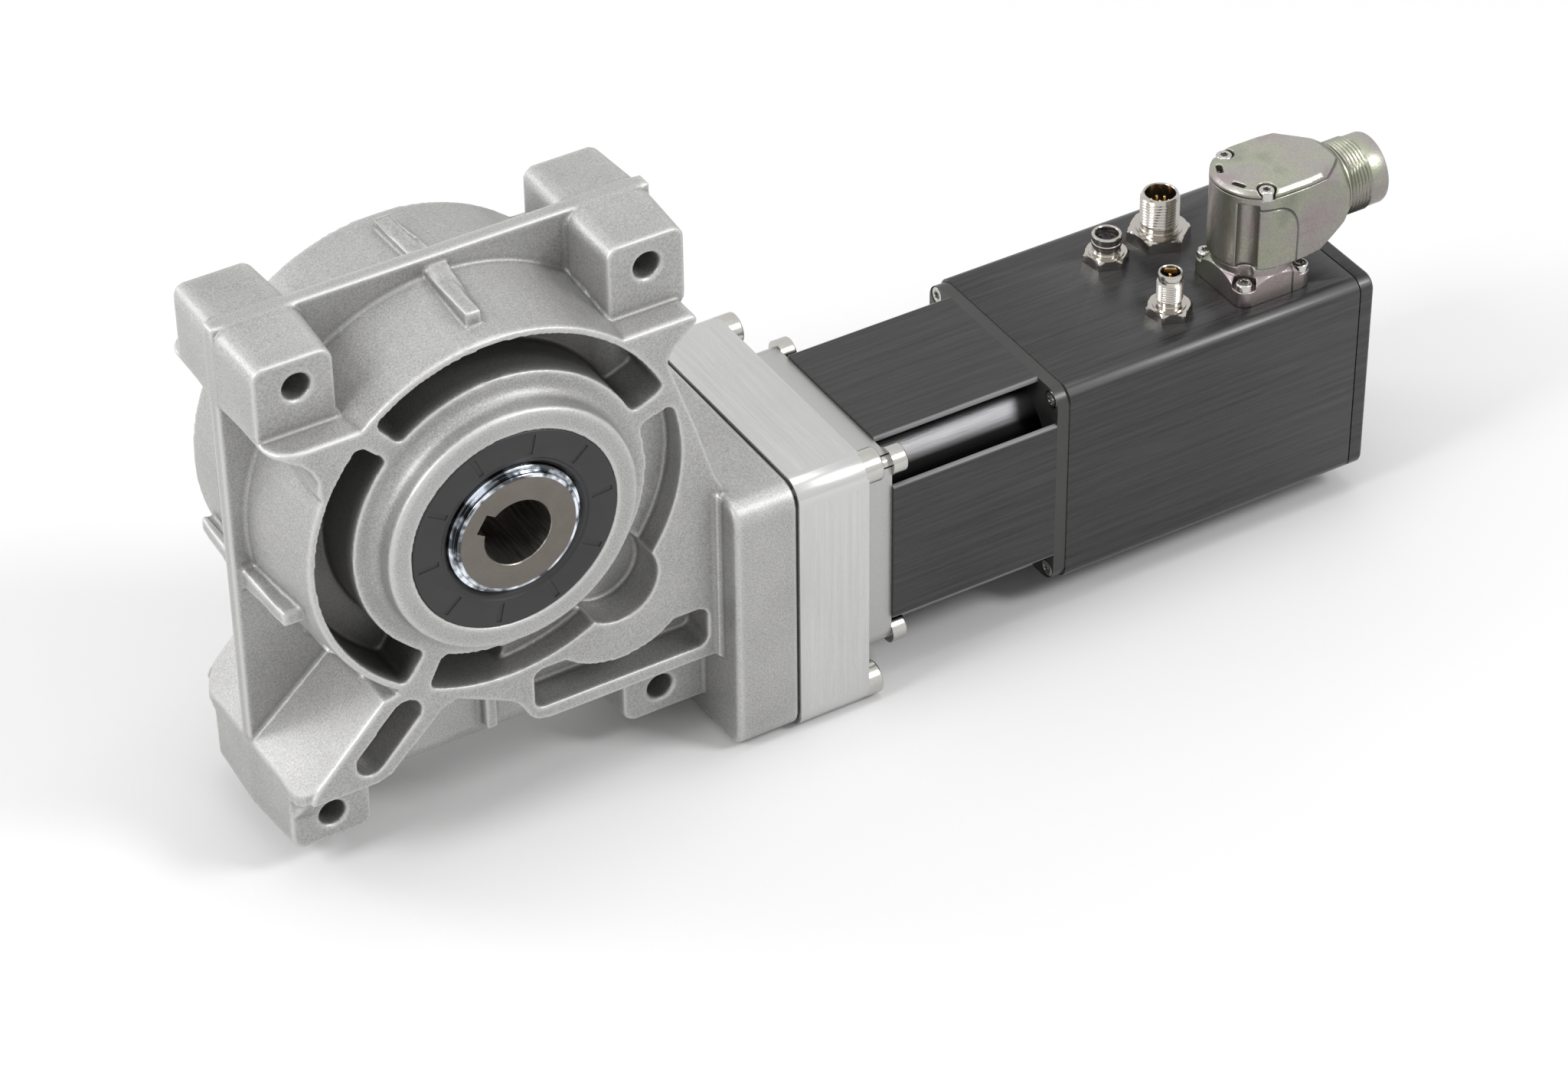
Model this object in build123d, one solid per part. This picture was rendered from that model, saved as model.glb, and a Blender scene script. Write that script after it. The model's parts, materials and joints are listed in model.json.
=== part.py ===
from build123d import *
import os
from math import atan2, cos, degrees, pi, radians, sin, sqrt, tan

# Worm gear motor with a built-in drive. Millimetres.
# Origin: output axis in the middle plane of the gearbox.
# +X along the motor, +Y to the rear of the gearbox, +Z up.

# worm gear
centre_distance = 63.0
module = 2.5
wheel_teeth = 40
worm_pitch_radius = centre_distance - module * wheel_teeth / 2
wheel_pitch_radius = module * wheel_teeth / 2
wheel_half_width = 8.0
addendum = module
dedendum = 1.2 * module
worm_lead = pi * module
lead_angle = degrees(atan2(worm_lead, 2 * pi * worm_pitch_radius))
tooth_play = 0.32
pressure_angle = 20.0
worm_half_length = 2 * worm_lead
motor_z = -centre_distance

# running and fitting clearances
running = 0.05
lip_play = 0.1
seat = 0.02
screw_gap = 0.15

# gear housing
ring_face = 33.0
foot_face = 23.4
boss_face = 41.0
boss_radius = 37.7
ring_radius = 57.5
barrel_radius = 61.0
web_half = 2.5
slot_inner = 44.5
slot_outer = 55.4
slot_depth = 17.0
shallow_depth = 8.0
slot_corner = 2.4
foot_hole_x = 52.0
foot_hole_top = 56.0
foot_hole_bottom = -89.0
foot_hole_radius = 4.0
foot_sink_radius = 4.55
foot_draft = 1.3
foot_corner = 5.0
foot_left = -64.5
foot_right = 63.5
foot_top = 65.0
foot_bottom = -97.3
ledge_z = 42.5
rail_z = -75.6
round_pocket_x = 34.5
round_pocket_z = -38.5
round_pocket_radius = 12.5
wheel_cavity_half = 11.5
cavity_radius = 54.0

# worm tunnel and motor-side block of the housing
tunnel_half = 19.5
tunnel_bottom = -88.0
tunnel_left = -46.0
worm_bore_radius = worm_pitch_radius + addendum + 0.5
block_left = 66.5
block_right = 86.0
block_half = 42.7
block_corner = 6.0

# output shaft, bearings and seals
bore_radius = 10.0
bore_chamfer = 0.45
shaft_radius = 20.0
shaft_land_radius = 18.5
shaft_face = 42.5
shaft_step = 40.6
key_width = 6.0
key_depth = 2.8
key_angle = 147.0
output_bearing_radius = 34.0
output_bearing_width = 15.0
output_bearing_end = 32.5
seal_radius = 31.0
hub_radius = 43.5
hub_boss_radius = 27.0

# adapter plate, motor flange
gasket = 0.4
plate_right = 109.1
plate_half = 43.6
plate_corner = 6.5
plate_screw_spacing = 38.2
flange_right = 123.0
flange_half = 33.3
flange_corner = 5.0
flange_screw_spacing = 30.2

# motor
motor_right = 178.2
motor_half = 34.3
scallop = 23.6
motor_core_radius = 32.2
motor_bore_radius = 29.5
motor_shaft_radius = 6.0

# drive
drive_flange_right = 182.3
housing_right = 284.4
drive_right = 289.6
drive_half = 34.5
drive_corner = 4.5
drive_wall = 3.0
drive_screw_spacing = 30.5
drive_top = motor_z + drive_half

# connectors on the drive
round_plug = (247.2, 16.2)
small_socket = (227.6, 15.0)
small_plug = (228.1, -17.0)
power_x = 259.0
power_y = -14.7
power_base_half = 12.8
power_base_height = 4.9
power_collar_height = 11.6
power_collar_radius = 12.6
power_bore_radius = 7.2
power_screw_spacing = 9.9
power_screw_seat = 5.2
tower_radius = 13.9
tower_height = 38.8
tower_bore_radius = 8.5
lid_screw_x = 4.3
lid_screw_y = 10.6
lid_screw_depth = 3.2
barrel_height = 24.55
barrel_thread_radius = 11.4
barrel_bore_radius = 9.0
elbow_end = 284.4
thread_end = 293.5
nose_end = 299.3


def prism_y(sketch, y0, y1):
    return extrude(Plane.XZ.offset(-y1) * sketch, amount=y1 - y0, dir=(0, -1, 0))


def prism_x(sketch, x0, x1):
    return extrude(Plane.YZ.offset(x0) * sketch, amount=x1 - x0, dir=(1, 0, 0))


def prism_z(sketch, z0, z1):
    return extrude(Plane.XY.offset(z0) * sketch, amount=z1 - z0, dir=(0, 0, 1))


def block(x0, x1, y0, y1, z0, z1):
    return prism_z(Pos((x0 + x1) / 2, (y0 + y1) / 2) * Rectangle(x1 - x0, y1 - y0), z0, z1)


def turned_y(points):
    """Body turned about the output axis from (radius, y) points."""
    return revolve(make_face(Polyline(*points, close=True)), Axis.Y)


def turned_x(points):
    """Body turned about the motor axis from (x, radius) points."""
    return Pos(0, 0, motor_z) * revolve(make_face(Polyline(*points, close=True)), Axis.X)


def turned_z(points, x, y):
    """Body turned about an upright axis at x, y from (radius, height above the drive) points."""
    outline = Polyline(*[(r, 0, h) for r, h in points], close=True)
    return Pos(x, y, drive_top) * revolve(make_face(outline), Axis.Z)


def tube_y(inner, outer, y0, y1):
    return turned_y([(inner, y0), (outer, y0), (outer, y1), (inner, y1)])


def tube_x(inner, outer, x0, x1):
    return turned_x([(x0, inner), (x1, inner), (x1, outer), (x0, outer)])


def disc_y(radius, y0, y1, x=0, z=0):
    return prism_y(Pos(x, z) * Circle(radius), y0, y1)


def disc_x(radius, x0, x1, y=0, z=motor_z):
    return prism_x(Pos(y, z) * Circle(radius), x0, x1)


def disc_z(radius, z0, z1, x, y):
    return prism_z(Pos(x, y) * Circle(radius), z0, z1)


def both_sides(body):
    return body + mirror(body, Plane.XZ)


def solids(bodies):
    """One group of separate solids."""
    return Compound(children=[s for b in bodies for s in b.solids()])


def corners(spacing):
    return [(y, z) for y in (-spacing, spacing) for z in (-spacing, spacing)]


def sector(a0, a1, inner, outer, corner):
    """Annular slot between two angles, with rounded corners."""
    reach = outer * 1.6
    middle = (a0 + a1) / 2
    wedge = Polygon(
        (0, 0),
        (reach * cos(radians(a0)), reach * sin(radians(a0))),
        (reach * 1.3 * cos(radians((a0 + middle) / 2)), reach * 1.3 * sin(radians((a0 + middle) / 2))),
        (reach * 1.3 * cos(radians((a1 + middle) / 2)), reach * 1.3 * sin(radians((a1 + middle) / 2))),
        (reach * cos(radians(a1)), reach * sin(radians(a1))),
        align=None,
    )
    slot = (Circle(outer) - Circle(inner)) & wedge
    return fillet(slot.vertices(), corner)


def foot(x0, x1, z0, z1, corner):
    """Foot block drafted from the middle plane to both faces."""
    angle = degrees(atan2(foot_draft, foot_face))
    outline = Pos((x0 + x1) / 2, (z0 + z1) / 2) * RectangleRounded(
        x1 - x0 + 2 * foot_draft, z1 - z0 + 2 * foot_draft, corner
    )
    return both_sides(extrude(Plane.XZ * outline, amount=foot_face, taper=angle))


def gear_housing():
    barrel = turned_y([(0, -ring_face), (ring_radius, -ring_face), (barrel_radius, 0), (0, 0)])
    body = both_sides(barrel)

    # middle web that joins the feet
    web = Polygon(
        (foot_left - foot_draft, foot_hole_bottom + 18),
        (foot_left - foot_draft, foot_top + foot_draft),
        (foot_right + foot_draft, foot_top + foot_draft),
        (foot_right + foot_draft, motor_z + block_half - 4),
        (0, motor_z + block_half - 4),
        align=None,
    )
    body += prism_y(web, -web_half, web_half)

    # feet
    body += foot(foot_left, -41.3, ledge_z - 2.5, foot_top, foot_corner)
    body += foot(40.0, foot_right, ledge_z - 2.5, foot_top, foot_corner)
    body += foot(foot_left, -40.3, foot_bottom, -70.0, foot_corner)
    body += foot(40.0, block_left + 3, foot_bottom, -71.0, foot_corner)

    # ledges under the upper feet
    left_ledge = Polygon(
        (-38, ledge_z), (foot_left, ledge_z), (foot_left, ledge_z - 1.5), (-61, 40.2), (-57, 38.2),
        (-54, 35), (-52.3, 31), (-52.6, 26), (-40, 20), (-30, 40),
        align=None,
    )
    left_bar = prism_y(left_ledge, -ring_face, ring_face)
    turn = 8.6
    for side in (-1, 1):
        low, high = sorted((side * (ring_face - turn), side * (ring_face + 1)))
        waste = block(foot_left - 1, foot_left + turn, low, high, 20, 60)
        waste -= disc_z(turn, 19, 61, foot_left + turn, side * (ring_face - turn))
        left_bar -= waste
    body += left_bar
    right_ledge = Polygon(
        (38, ledge_z), (60.4, ledge_z), (61.7, 41.3), (61.5, 40), (58, 37.4), (54.5, 34.2),
        (52.4, 30.8), (50, 22), (30, 40),
        align=None,
    )
    body += prism_y(right_ledge, -ring_face, ring_face)

    # strut to the lower left foot, with its slanted top
    strut = Polygon(
        (-38.2, -48.3), (-59.7, -71.2), (-61.6, -73.4), (-62.2, rail_z), (-41, rail_z),
        (-37.3, -74.3), (-22.8, -60.2), (-20.6, -58.4), (-17.6, -57.6), (-12, -45),
        align=None,
    )
    body += prism_y(strut, -ring_face, ring_face)

    # lower rail and the side towards the motor
    rail = Polygon(
        (0, -40), (-17.6, -56), (-15.0, -57.9), (-10, -60.3), (-2, -64.1), (1.4, -66.3), (3.6, -69.4),
        (5.2, -72.4), (7.4, -74.8), (10.4, rail_z), (block_left + 2, rail_z), (block_left + 2, -18),
        (block_left - 0.5, -13), (60, 7), (52.2, 30), (30, 30),
        align=None,
    )
    body += prism_y(rail, -ring_face, ring_face)
    ridge = Pos(block_left - 0.6, -48) * Rectangle(1.2, 57)
    body += prism_y(ridge, -ring_face - 1.2, ring_face + 1.2)

    # worm tunnel
    tunnel = Pos(0, (tunnel_bottom - 40) / 2) * RectangleRounded(2 * tunnel_half, -40 - tunnel_bottom, 8)
    body += prism_x(tunnel, tunnel_left, block_left + 2)

    # square block for the adapter plate
    square = Pos(0, motor_z) * RectangleRounded(2 * block_half, 2 * block_half, block_corner)
    head = prism_x(square, block_left, block_right)
    head = fillet(head.faces().sort_by(Axis.X)[0].edges(), 1.6)
    body += head

    # raised centre of the front
    throat = 4.0
    steps = [(0, -boss_face), (boss_radius - 0.8, -boss_face), (boss_radius, -boss_face + 0.8)]
    for i in range(7):
        turn_angle = radians(90 * i / 6)
        steps.append((
            boss_radius + throat * (1 - cos(turn_angle)),
            -ring_face - throat + throat * sin(turn_angle),
        ))
    steps += [(boss_radius + throat, -ring_face + 1), (0, -ring_face + 1)]
    body += turned_y(steps)

    # small ribs along the barrel and under the tunnel
    for side in (-1, 1):
        near = Plane.XZ.offset(-side * 2.0)
        far = Plane.XZ.offset(-side * foot_face)
        body += loft([near * Pos(0, 60.6) * Rectangle(6.4, 6), far * Pos(0, 57) * Rectangle(3.6, 6)])
        body += loft([near * Pos(-60.6, -16) * Rectangle(6, 6.4), far * Pos(-57, -16) * Rectangle(6, 3.6)])
        low, high = sorted((side * (tunnel_half - 6), side * foot_face))
        body += block(-3.4, 0.4, low, high, -80.6, -56)

    # pockets in the front ring
    front = -ring_face
    body -= prism_y(sector(23.5, 129.5, slot_inner, slot_outer, slot_corner), front - 1, front + slot_depth)
    body -= prism_y(sector(136.5, 235.5, slot_inner, slot_outer, slot_corner), front - 1, front + slot_depth)
    body -= prism_y(sector(243.5, 300, slot_inner, slot_outer, slot_corner), front - 1, front + shallow_depth)
    body -= prism_y(sector(243.5, 272, slot_inner, slot_outer, slot_corner), front - 1, front + slot_depth)
    body -= prism_y(sector(-37, 16.5, slot_inner, slot_outer, slot_corner), front - 1, front + shallow_depth)
    body -= disc_y(round_pocket_radius, front - 1, front + 12, round_pocket_x, round_pocket_z)

    # long pocket above the lower rail and slanted pocket in the strut, on both sides
    long_pocket = Pos(34.9, -64.6) * RectangleRounded(55.2, 13.2, 3)
    long_pocket -= Pos(round_pocket_x, round_pocket_z) * Circle(round_pocket_radius + 13.4)
    slanted = Pos(-37.7, -61.6) * Rot(0, 0, 46) * SlotOverall(25.5, 9.2)
    for low, high in ((-ring_face - 1, -ring_face + 11), (ring_face - 11, ring_face + 1)):
        body -= prism_y(long_pocket, low, high)
        body -= prism_y(slanted, low, high)

    # foot holes
    for x in (-foot_hole_x, foot_hole_x):
        for z in (foot_hole_top, foot_hole_bottom):
            body -= disc_y(foot_hole_radius, -ring_face - 2, ring_face + 2, x, z)
            for side in (-1, 1):
                sink = Pos(x, side * foot_face, z) * Rot(90, 0, 0) * Cylinder(foot_sink_radius, 1.0)
                body -= sink

    # inside: wheel chamber open to the rear, bearing seat and seal bore in front
    body -= disc_y(cavity_radius, -wheel_cavity_half, ring_face + 1)
    body -= disc_y(output_bearing_radius + seat, -output_bearing_end, 0)
    body -= disc_y(seal_radius, -boss_face - 1, 0)
    body -= disc_y(cavity_radius + 1.2, ring_face - 4.4, ring_face - 3.0)

    # inside: worm bore and worm bearing seat
    body -= disc_x(worm_bore_radius, -37.0, block_right + 1)
    body -= disc_x(26.0 + seat, 68.5, block_right + 1)
    for y, z in corners(plate_screw_spacing):
        body -= disc_x(3.0, block_right - 14, block_right + 1, y, motor_z + z)
    return body


def rear_cover():
    """Closes the wheel chamber and holds the rear bearing and seal."""
    body = disc_y(cavity_radius - running, ring_face - 16, ring_face - 4.4)
    body += disc_y(boss_radius + 4, ring_face - 6, ring_face)
    body += disc_y(boss_radius, ring_face - 6, boss_face)
    for i in range(8):
        rib = block(boss_radius - 2, 51.5, ring_face - 8, ring_face - 1, -2, 2)
        body += Rot(0, 45 * i + 22.5, 0) * rib
    pocket = Circle(50.5) - Circle(boss_radius + 5)
    body -= prism_y(pocket, ring_face - 9.5, ring_face - 8) - solids(
        [Rot(0, 45 * i + 22.5, 0) * block(0, 60, ring_face - 12, ring_face, -2, 2) for i in range(8)]
    )
    body -= disc_y(output_bearing_radius + seat, 0, output_bearing_end)
    body -= disc_y(seal_radius, 0, boss_face + 1)
    groove = tube_y(cavity_radius - 2.2, cavity_radius + 1, ring_face - 12.2, ring_face - 9.8)
    body -= groove
    return body


def cover_cord_ring():
    return tube_y(cavity_radius - 2.2, cavity_radius, ring_face - 12.1, ring_face - 9.9)


def cover_circlip():
    ring = tube_y(cavity_radius - 2.4, cavity_radius + 1.1, ring_face - 4.4 + seat, ring_face - 3.0 - seat)
    return ring - block(-7, 7, ring_face - 6, ring_face, -60, -40)


def output_sleeve():
    end = shaft_face
    points = [
        (bore_radius + bore_chamfer, -end), (shaft_land_radius - 0.3, -end),
        (shaft_land_radius, -end + 0.3), (shaft_land_radius, -shaft_step),
        (shaft_radius - 0.3, -shaft_step), (shaft_radius, -shaft_step + 0.3),
        (shaft_radius, shaft_step - 0.3), (shaft_radius - 0.3, shaft_step),
        (shaft_land_radius, shaft_step), (shaft_land_radius, end - 0.3),
        (shaft_land_radius - 0.3, end), (bore_radius + bore_chamfer, end),
        (bore_radius, end - bore_chamfer), (bore_radius, -end + bore_chamfer),
    ]
    body = turned_y(points)
    keyway = Rot(0, 0, key_angle) * Pos((bore_radius + key_depth) / 2, 0) * Rectangle(
        bore_radius + key_depth, key_width
    )
    body -= prism_y(keyway, -end - 1, end + 1)
    hub_key_slot = block(shaft_radius - 3.0, shaft_radius + 1, -wheel_half_width, wheel_half_width, -4, 4)
    return body - hub_key_slot


def hub_key():
    w = wheel_half_width - seat
    return block(shaft_radius - 3.0 + seat, shaft_radius + 2.8, -w, w, -4 + seat, 4 - seat)


def wheel_hub():
    inner_end = output_bearing_end - output_bearing_width
    points = [
        (shaft_radius, -inner_end), (hub_boss_radius - 4, -inner_end), (hub_boss_radius, -wheel_half_width - 1),
        (hub_boss_radius, -4.5), (hub_radius - 4, -4.5), (hub_radius - 3, -wheel_half_width),
        (hub_radius, -wheel_half_width), (hub_radius, wheel_half_width),
        (hub_radius - 3, wheel_half_width), (hub_radius - 4, 4.5), (hub_boss_radius, 4.5),
        (hub_boss_radius, wheel_half_width + 1), (hub_boss_radius - 4, inner_end), (shaft_radius, inner_end),
    ]
    body = turned_y(points)
    body -= block(shaft_radius - 1, shaft_radius + 3.0, -inner_end - 1, inner_end + 1, -4, 4)
    return body


def wheel_rim():
    """Bronze rim with teeth set at the lead angle of the worm."""
    outer = wheel_pitch_radius + addendum - 0.1
    root = wheel_pitch_radius - dedendum
    half_tooth = pi * module / 4 - tooth_play / 2
    slope = tan(radians(pressure_angle))
    half_pitch = pi / wheel_teeth

    def half_gap(radius):
        return half_pitch * radius - half_tooth + (radius - wheel_pitch_radius) * slope

    top = outer + 1.2
    gap = Polygon(
        (root, -half_gap(root)), (top, -half_gap(top)), (top, half_gap(top)), (root, half_gap(root)),
        align=None,
    )
    reach = wheel_half_width + 2
    cutter = Rot(-lead_angle, 0, 0) * prism_y(gap, -reach, reach)
    rim = turned_y([
        (hub_radius, -wheel_half_width), (outer - 0.8, -wheel_half_width), (outer, -wheel_half_width + 0.8),
        (outer, wheel_half_width - 0.8), (outer - 0.8, wheel_half_width), (hub_radius, wheel_half_width),
    ])
    cutters = [Rot(0, 360 * (i + 0.5) / wheel_teeth, 0) * cutter for i in range(wheel_teeth)]
    return rim - cutters


def worm_shaft():
    root = worm_pitch_radius - dedendum
    body = turned_x([
        (-36.6, 0), (-36.6, 7.0), (-36.1, 7.5), (-26.0, 7.5), (-26.0, 9.2), (-worm_half_length - 3, root),
        (worm_half_length + 3, root), (worm_half_length + 5, 12.0), (60.0, 12.0), (61.0, 15.0),
        (68.4, 15.0), (68.4, 12.5), (97.0, 12.5), (97.0, 7.0), (102.9, 7.0), (103.4, 6.5), (103.4, 0),
    ])
    slope = tan(radians(pressure_angle))
    half_thread = pi * module / 4 - tooth_play / 2
    inner = root - 0.5
    tip = worm_pitch_radius + addendum
    narrow = half_thread - (tip - worm_pitch_radius) * slope
    wide = half_thread + (worm_pitch_radius - inner) * slope
    path = Helix(pitch=worm_lead, height=2 * worm_half_length, radius=worm_pitch_radius)
    start = Plane(origin=path @ 0, x_dir=Vector(1, 0, 0), z_dir=path % 0)
    shape = Polygon(
        (inner - worm_pitch_radius, -wide), (tip - worm_pitch_radius, -narrow),
        (tip - worm_pitch_radius, narrow), (inner - worm_pitch_radius, wide),
        align=None,
    )
    thread = sweep(start * shape, path=path, is_frenet=True)
    thread = Pos(-worm_half_length, 0, motor_z) * Rot(0, 90, 0) * thread
    return body + thread


def rollers_y(count, pitch, radius, y0, y1):
    bodies = []
    for i in range(count):
        a = 2 * pi * i / count
        bodies.append(disc_y(radius, y0, y1, pitch * cos(a), pitch * sin(a)))
    return bodies


def rollers_x(count, pitch, radius, x0, x1):
    bodies = []
    for i in range(count):
        a = 2 * pi * (i + 0.5) / count
        bodies.append(disc_x(radius, x0, x1, pitch * cos(a), motor_z + pitch * sin(a)))
    return bodies


def inner_race_y(shaft, outer, y0, y1):
    return turned_y([
        (shaft, y0), (outer + 1.2, y0), (outer + 1.2, y0 + 1.8), (outer, y0 + 1.8),
        (outer, y1 - 1.8), (outer + 1.2, y1 - 1.8), (outer + 1.2, y1), (shaft, y1),
    ])


def output_outer_races():
    y1 = -output_bearing_end + output_bearing_width
    front = tube_y(29.6, output_bearing_radius, -output_bearing_end, y1)
    return solids([front, mirror(front, Plane.XZ)])


def output_inner_races():
    y1 = -output_bearing_end + output_bearing_width
    front = inner_race_y(shaft_radius, 24.4, -output_bearing_end, y1)
    return solids([front, mirror(front, Plane.XZ)])


def output_rollers():
    y0 = -output_bearing_end + 2.0
    y1 = -output_bearing_end + output_bearing_width - 2.0
    front = rollers_y(14, 27.0, 2.55, y0, y1)
    return solids(front + [mirror(b, Plane.XZ) for b in front])


def output_seal(side):
    """Rubber lip seal pressed into the boss."""
    face = boss_face - 0.1
    points = [
        (seal_radius, 33.4), (seal_radius, face - 0.4), (seal_radius - 0.4, face), (22.6, face),
        (22.0, face - 0.5), (21.4, face - 0.5), (shaft_radius + lip_play, face - 1.6),
        (shaft_radius + lip_play, face - 2.4), (22.4, face - 3.0), (22.4, face - 5.2),
        (shaft_radius + lip_play, face - 6.0), (shaft_radius + lip_play, face - 6.6),
        (23.0, face - 7.2), (23.6, face - 7.2), (23.6, face - 1.8), (28.6, face - 1.8), (28.6, 33.4),
    ]
    body = turned_y(points)
    for i in range(10):
        notch = block(23.4, 29.6, face - 0.35, face + 1, -0.8, 0.8)
        body -= Rot(0, -36 * i - 5, 0) * notch
    return body if side > 0 else mirror(body, Plane.XZ)


def worm_outer_races():
    left = tube_x(13.0, 16.0, -36.0, -27.0)
    right = tube_x(22.3, 26.0, 68.5, 83.5)
    return solids([left, right])


def worm_inner_races():
    left = tube_x(7.5, 10.4, -36.0, -27.0)
    right = tube_x(12.5, 16.6, 68.5, 83.5)
    return solids([left, right])


def worm_rollers():
    left = rollers_x(12, 11.7, 1.25, -34.6, -28.4)
    right = rollers_x(12, 19.45, 2.8, 70.5, 81.5)
    return solids(left + right)


def plate_gasket():
    sheet = Pos(0, motor_z) * RectangleRounded(2 * block_half - 0.8, 2 * block_half - 0.8, block_corner)
    sheet -= Pos(0, motor_z) * Circle(28)
    for y, z in corners(plate_screw_spacing):
        sheet -= Pos(y, motor_z + z) * Circle(3.4)
    return prism_x(sheet, block_right, block_right + gasket)


def adapter_plate():
    left = block_right + gasket
    square = Pos(0, motor_z) * RectangleRounded(2 * plate_half, 2 * plate_half, plate_corner)
    body = prism_x(square, left, plate_right)
    body += tube_x(20, 26.0 - running, 83.6, left + 1)
    body -= disc_x(20, 80, 96.0)
    body -= disc_x(14.5, 90, 100)
    body -= disc_x(22, 97.5, plate_right + 1)
    for y, z in corners(plate_screw_spacing):
        body -= disc_x(3.3, left - 1, plate_right + 1, y, motor_z + z)
        body -= disc_x(5.3, plate_right - 0.5, plate_right + 1, y, motor_z + z)
    for y, z in corners(flange_screw_spacing):
        body -= disc_x(2.5, plate_right - 14, plate_right + 1, y, motor_z + z)
    return body


def worm_seal():
    return turned_x([
        (89.0, 20.0), (95.8, 20.0), (95.8, 13.6), (94.6, 12.5 + lip_play), (93.8, 12.5 + lip_play),
        (92.8, 14.2), (92.8, 17.8), (89.0, 17.8),
    ])


def cap_screw_x(head_radius, head_length, socket, shank_radius, length, x, y, z):
    """Cap screw along X with its head on the motor side of x."""
    profile = [
        (x - length, 0), (x - length, shank_radius), (x, shank_radius), (x, head_radius),
        (x + head_length - 0.5, head_radius), (x + head_length, head_radius - 0.5), (x + head_length, 0),
    ]
    body = revolve(make_face(Polyline(*profile, close=True)), Axis.X)
    hexagon = Plane.YZ.offset(x + head_length * 0.45) * RegularPolygon(socket, 6, major_radius=False)
    body -= extrude(hexagon, amount=head_length)
    return Pos(0, y, z) * body


def plate_screws():
    return solids([
        cap_screw_x(5.0, 6.0, 2.5, 2.95, 36.0, plate_right - 0.5, y, motor_z + z)
        for y, z in corners(plate_screw_spacing)
    ])


def motor_flange():
    square = Pos(0, motor_z) * RectangleRounded(2 * flange_half, 2 * flange_half, flange_corner)
    body = prism_x(square, plate_right, flange_right)
    body -= disc_x(22, plate_right - 1, flange_right - 10.8)
    body -= disc_x(9, plate_right - 1, flange_right + 1)
    body -= disc_x(16.0, flange_right - 10.0, flange_right + 1)
    for y, z in corners(flange_screw_spacing):
        body -= disc_x(2.75, plate_right - 1, flange_right + 1, y, motor_z + z)
    return body


def flange_screws():
    return solids([
        cap_screw_x(4.25, 5.0, 2.0, 2.45, 26.0, flange_right, y, motor_z + z)
        for y, z in corners(flange_screw_spacing)
    ])


def coupling_hub(x0, x1, bore, jaw_x, jaw_turn):
    """Half coupling with three jaws that face jaw_x."""
    body = tube_x(bore, 16.0, x0, x1)
    low, high = (x1 - 0.5, jaw_x) if jaw_x > x1 else (jaw_x, x0 + 0.5)
    for i in range(3):
        jaw = prism_x(sector(-16, 16, 8.5, 15.6, 0.6), low, high)
        body += Pos(0, 0, motor_z) * Rot(120 * i + jaw_turn, 0, 0) * jaw
    return body


def coupling_spider():
    legs = []
    body = tube_x(4.5, 8.3, 103.9, 106.9)
    for i in range(6):
        leg = prism_x(sector(-13.5, 13.5, 8.0, 15.2, 0.6), 103.9, 106.9)
        legs.append(Pos(0, 0, motor_z) * Rot(60 * i + 30, 0, 0) * leg)
    for leg in legs:
        body += leg
    return body


def motor_housing():
    """Extruded body with scalloped corners that clear the screws."""
    square = Rectangle(2 * motor_half, 2 * motor_half)
    for y, z in corners(motor_half):
        edge = motor_half - scallop
        square -= Pos(y, z) * Rectangle(2 * edge, 2 * edge)
    square = fillet(square.vertices().filter_by(lambda v: max(abs(v.X), abs(v.Y)) > motor_half - 0.1), 0.7)
    round_core = Circle(motor_core_radius)
    profile = square + round_core
    profile -= Circle(motor_bore_radius)
    return prism_x(Pos(0, motor_z) * profile, flange_right, motor_right)


def stator_core():
    teeth = 9
    outline = Circle(motor_bore_radius - seat) - Circle(17.6)
    for i in range(teeth):
        slot = Polygon((18.4, -1.1), (20.0, -3.6), (26.6, -5.6), (26.6, 5.6), (20.0, 3.6), (18.4, 1.1), align=None)
        mouth = Pos(18, 0) * Rectangle(2.4, 2.2)
        outline -= Rot(0, 0, 360 * i / teeth) * (slot + mouth)
    return prism_x(Pos(0, motor_z) * outline, 134.0, 164.0)


def stator_coils():
    """One coil round each stator tooth."""
    bodies = []
    for i in range(9):
        coil = block(130.6, 167.4, -5.6, 5.6, 20.6, 26.2)
        coil -= block(134.0 - seat, 164.0 + seat, -3.95, 3.95, 20, 27)
        coil = fillet(coil.edges().filter_by(Axis.Z).group_by(Axis.X)[0], 1.6)
        bodies.append(Pos(0, 0, motor_z) * Rot(360 * (i + 0.5) / 9 - 90, 0, 0) * coil)
    return solids(bodies)


def motor_shaft():
    return turned_x([
        (107.3, 0), (107.3, 5.6), (107.7, 6.0), (127.0, 6.0), (127.0, 7.0), (169.4, 7.0),
        (169.4, 5.0), (180.6, 5.0), (181.0, 4.6), (181.0, 0),
    ])


def rotor_core():
    return tube_x(7.0, 14.6, 134.0, 164.0)


def rotor_magnets():
    bodies = []
    for i in range(8):
        piece = prism_x(sector(-21, 21, 14.6, 17.0, 0.4), 134.0, 164.0)
        bodies.append(Pos(0, 0, motor_z) * Rot(45 * i, 0, 0) * piece)
    return solids(bodies)


def motor_outer_races():
    front = tube_x(13.2, 16.0, 113.0, 123.0)
    rear = tube_x(10.9, 13.0, 170.0, 178.0)
    return solids([front, rear])


def motor_inner_races():
    front = tube_x(6.0, 8.8, 113.0, 123.0)
    rear = tube_x(5.0, 7.1, 170.0, 178.0)
    return solids([front, rear])


def motor_rollers():
    front = rollers_x(9, 11.0, 2.1, 114.8, 121.2)
    rear = rollers_x(9, 9.0, 1.8, 171.4, 176.6)
    return solids(front + rear)


def motor_rear_shield():
    body = tube_x(10.0, motor_bore_radius - seat, 168.6, 178.2)
    body -= disc_x(13.0, 170.0, 179)
    body -= tube_x(16.0, motor_bore_radius - 3, 172.5, 179)
    return body


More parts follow.
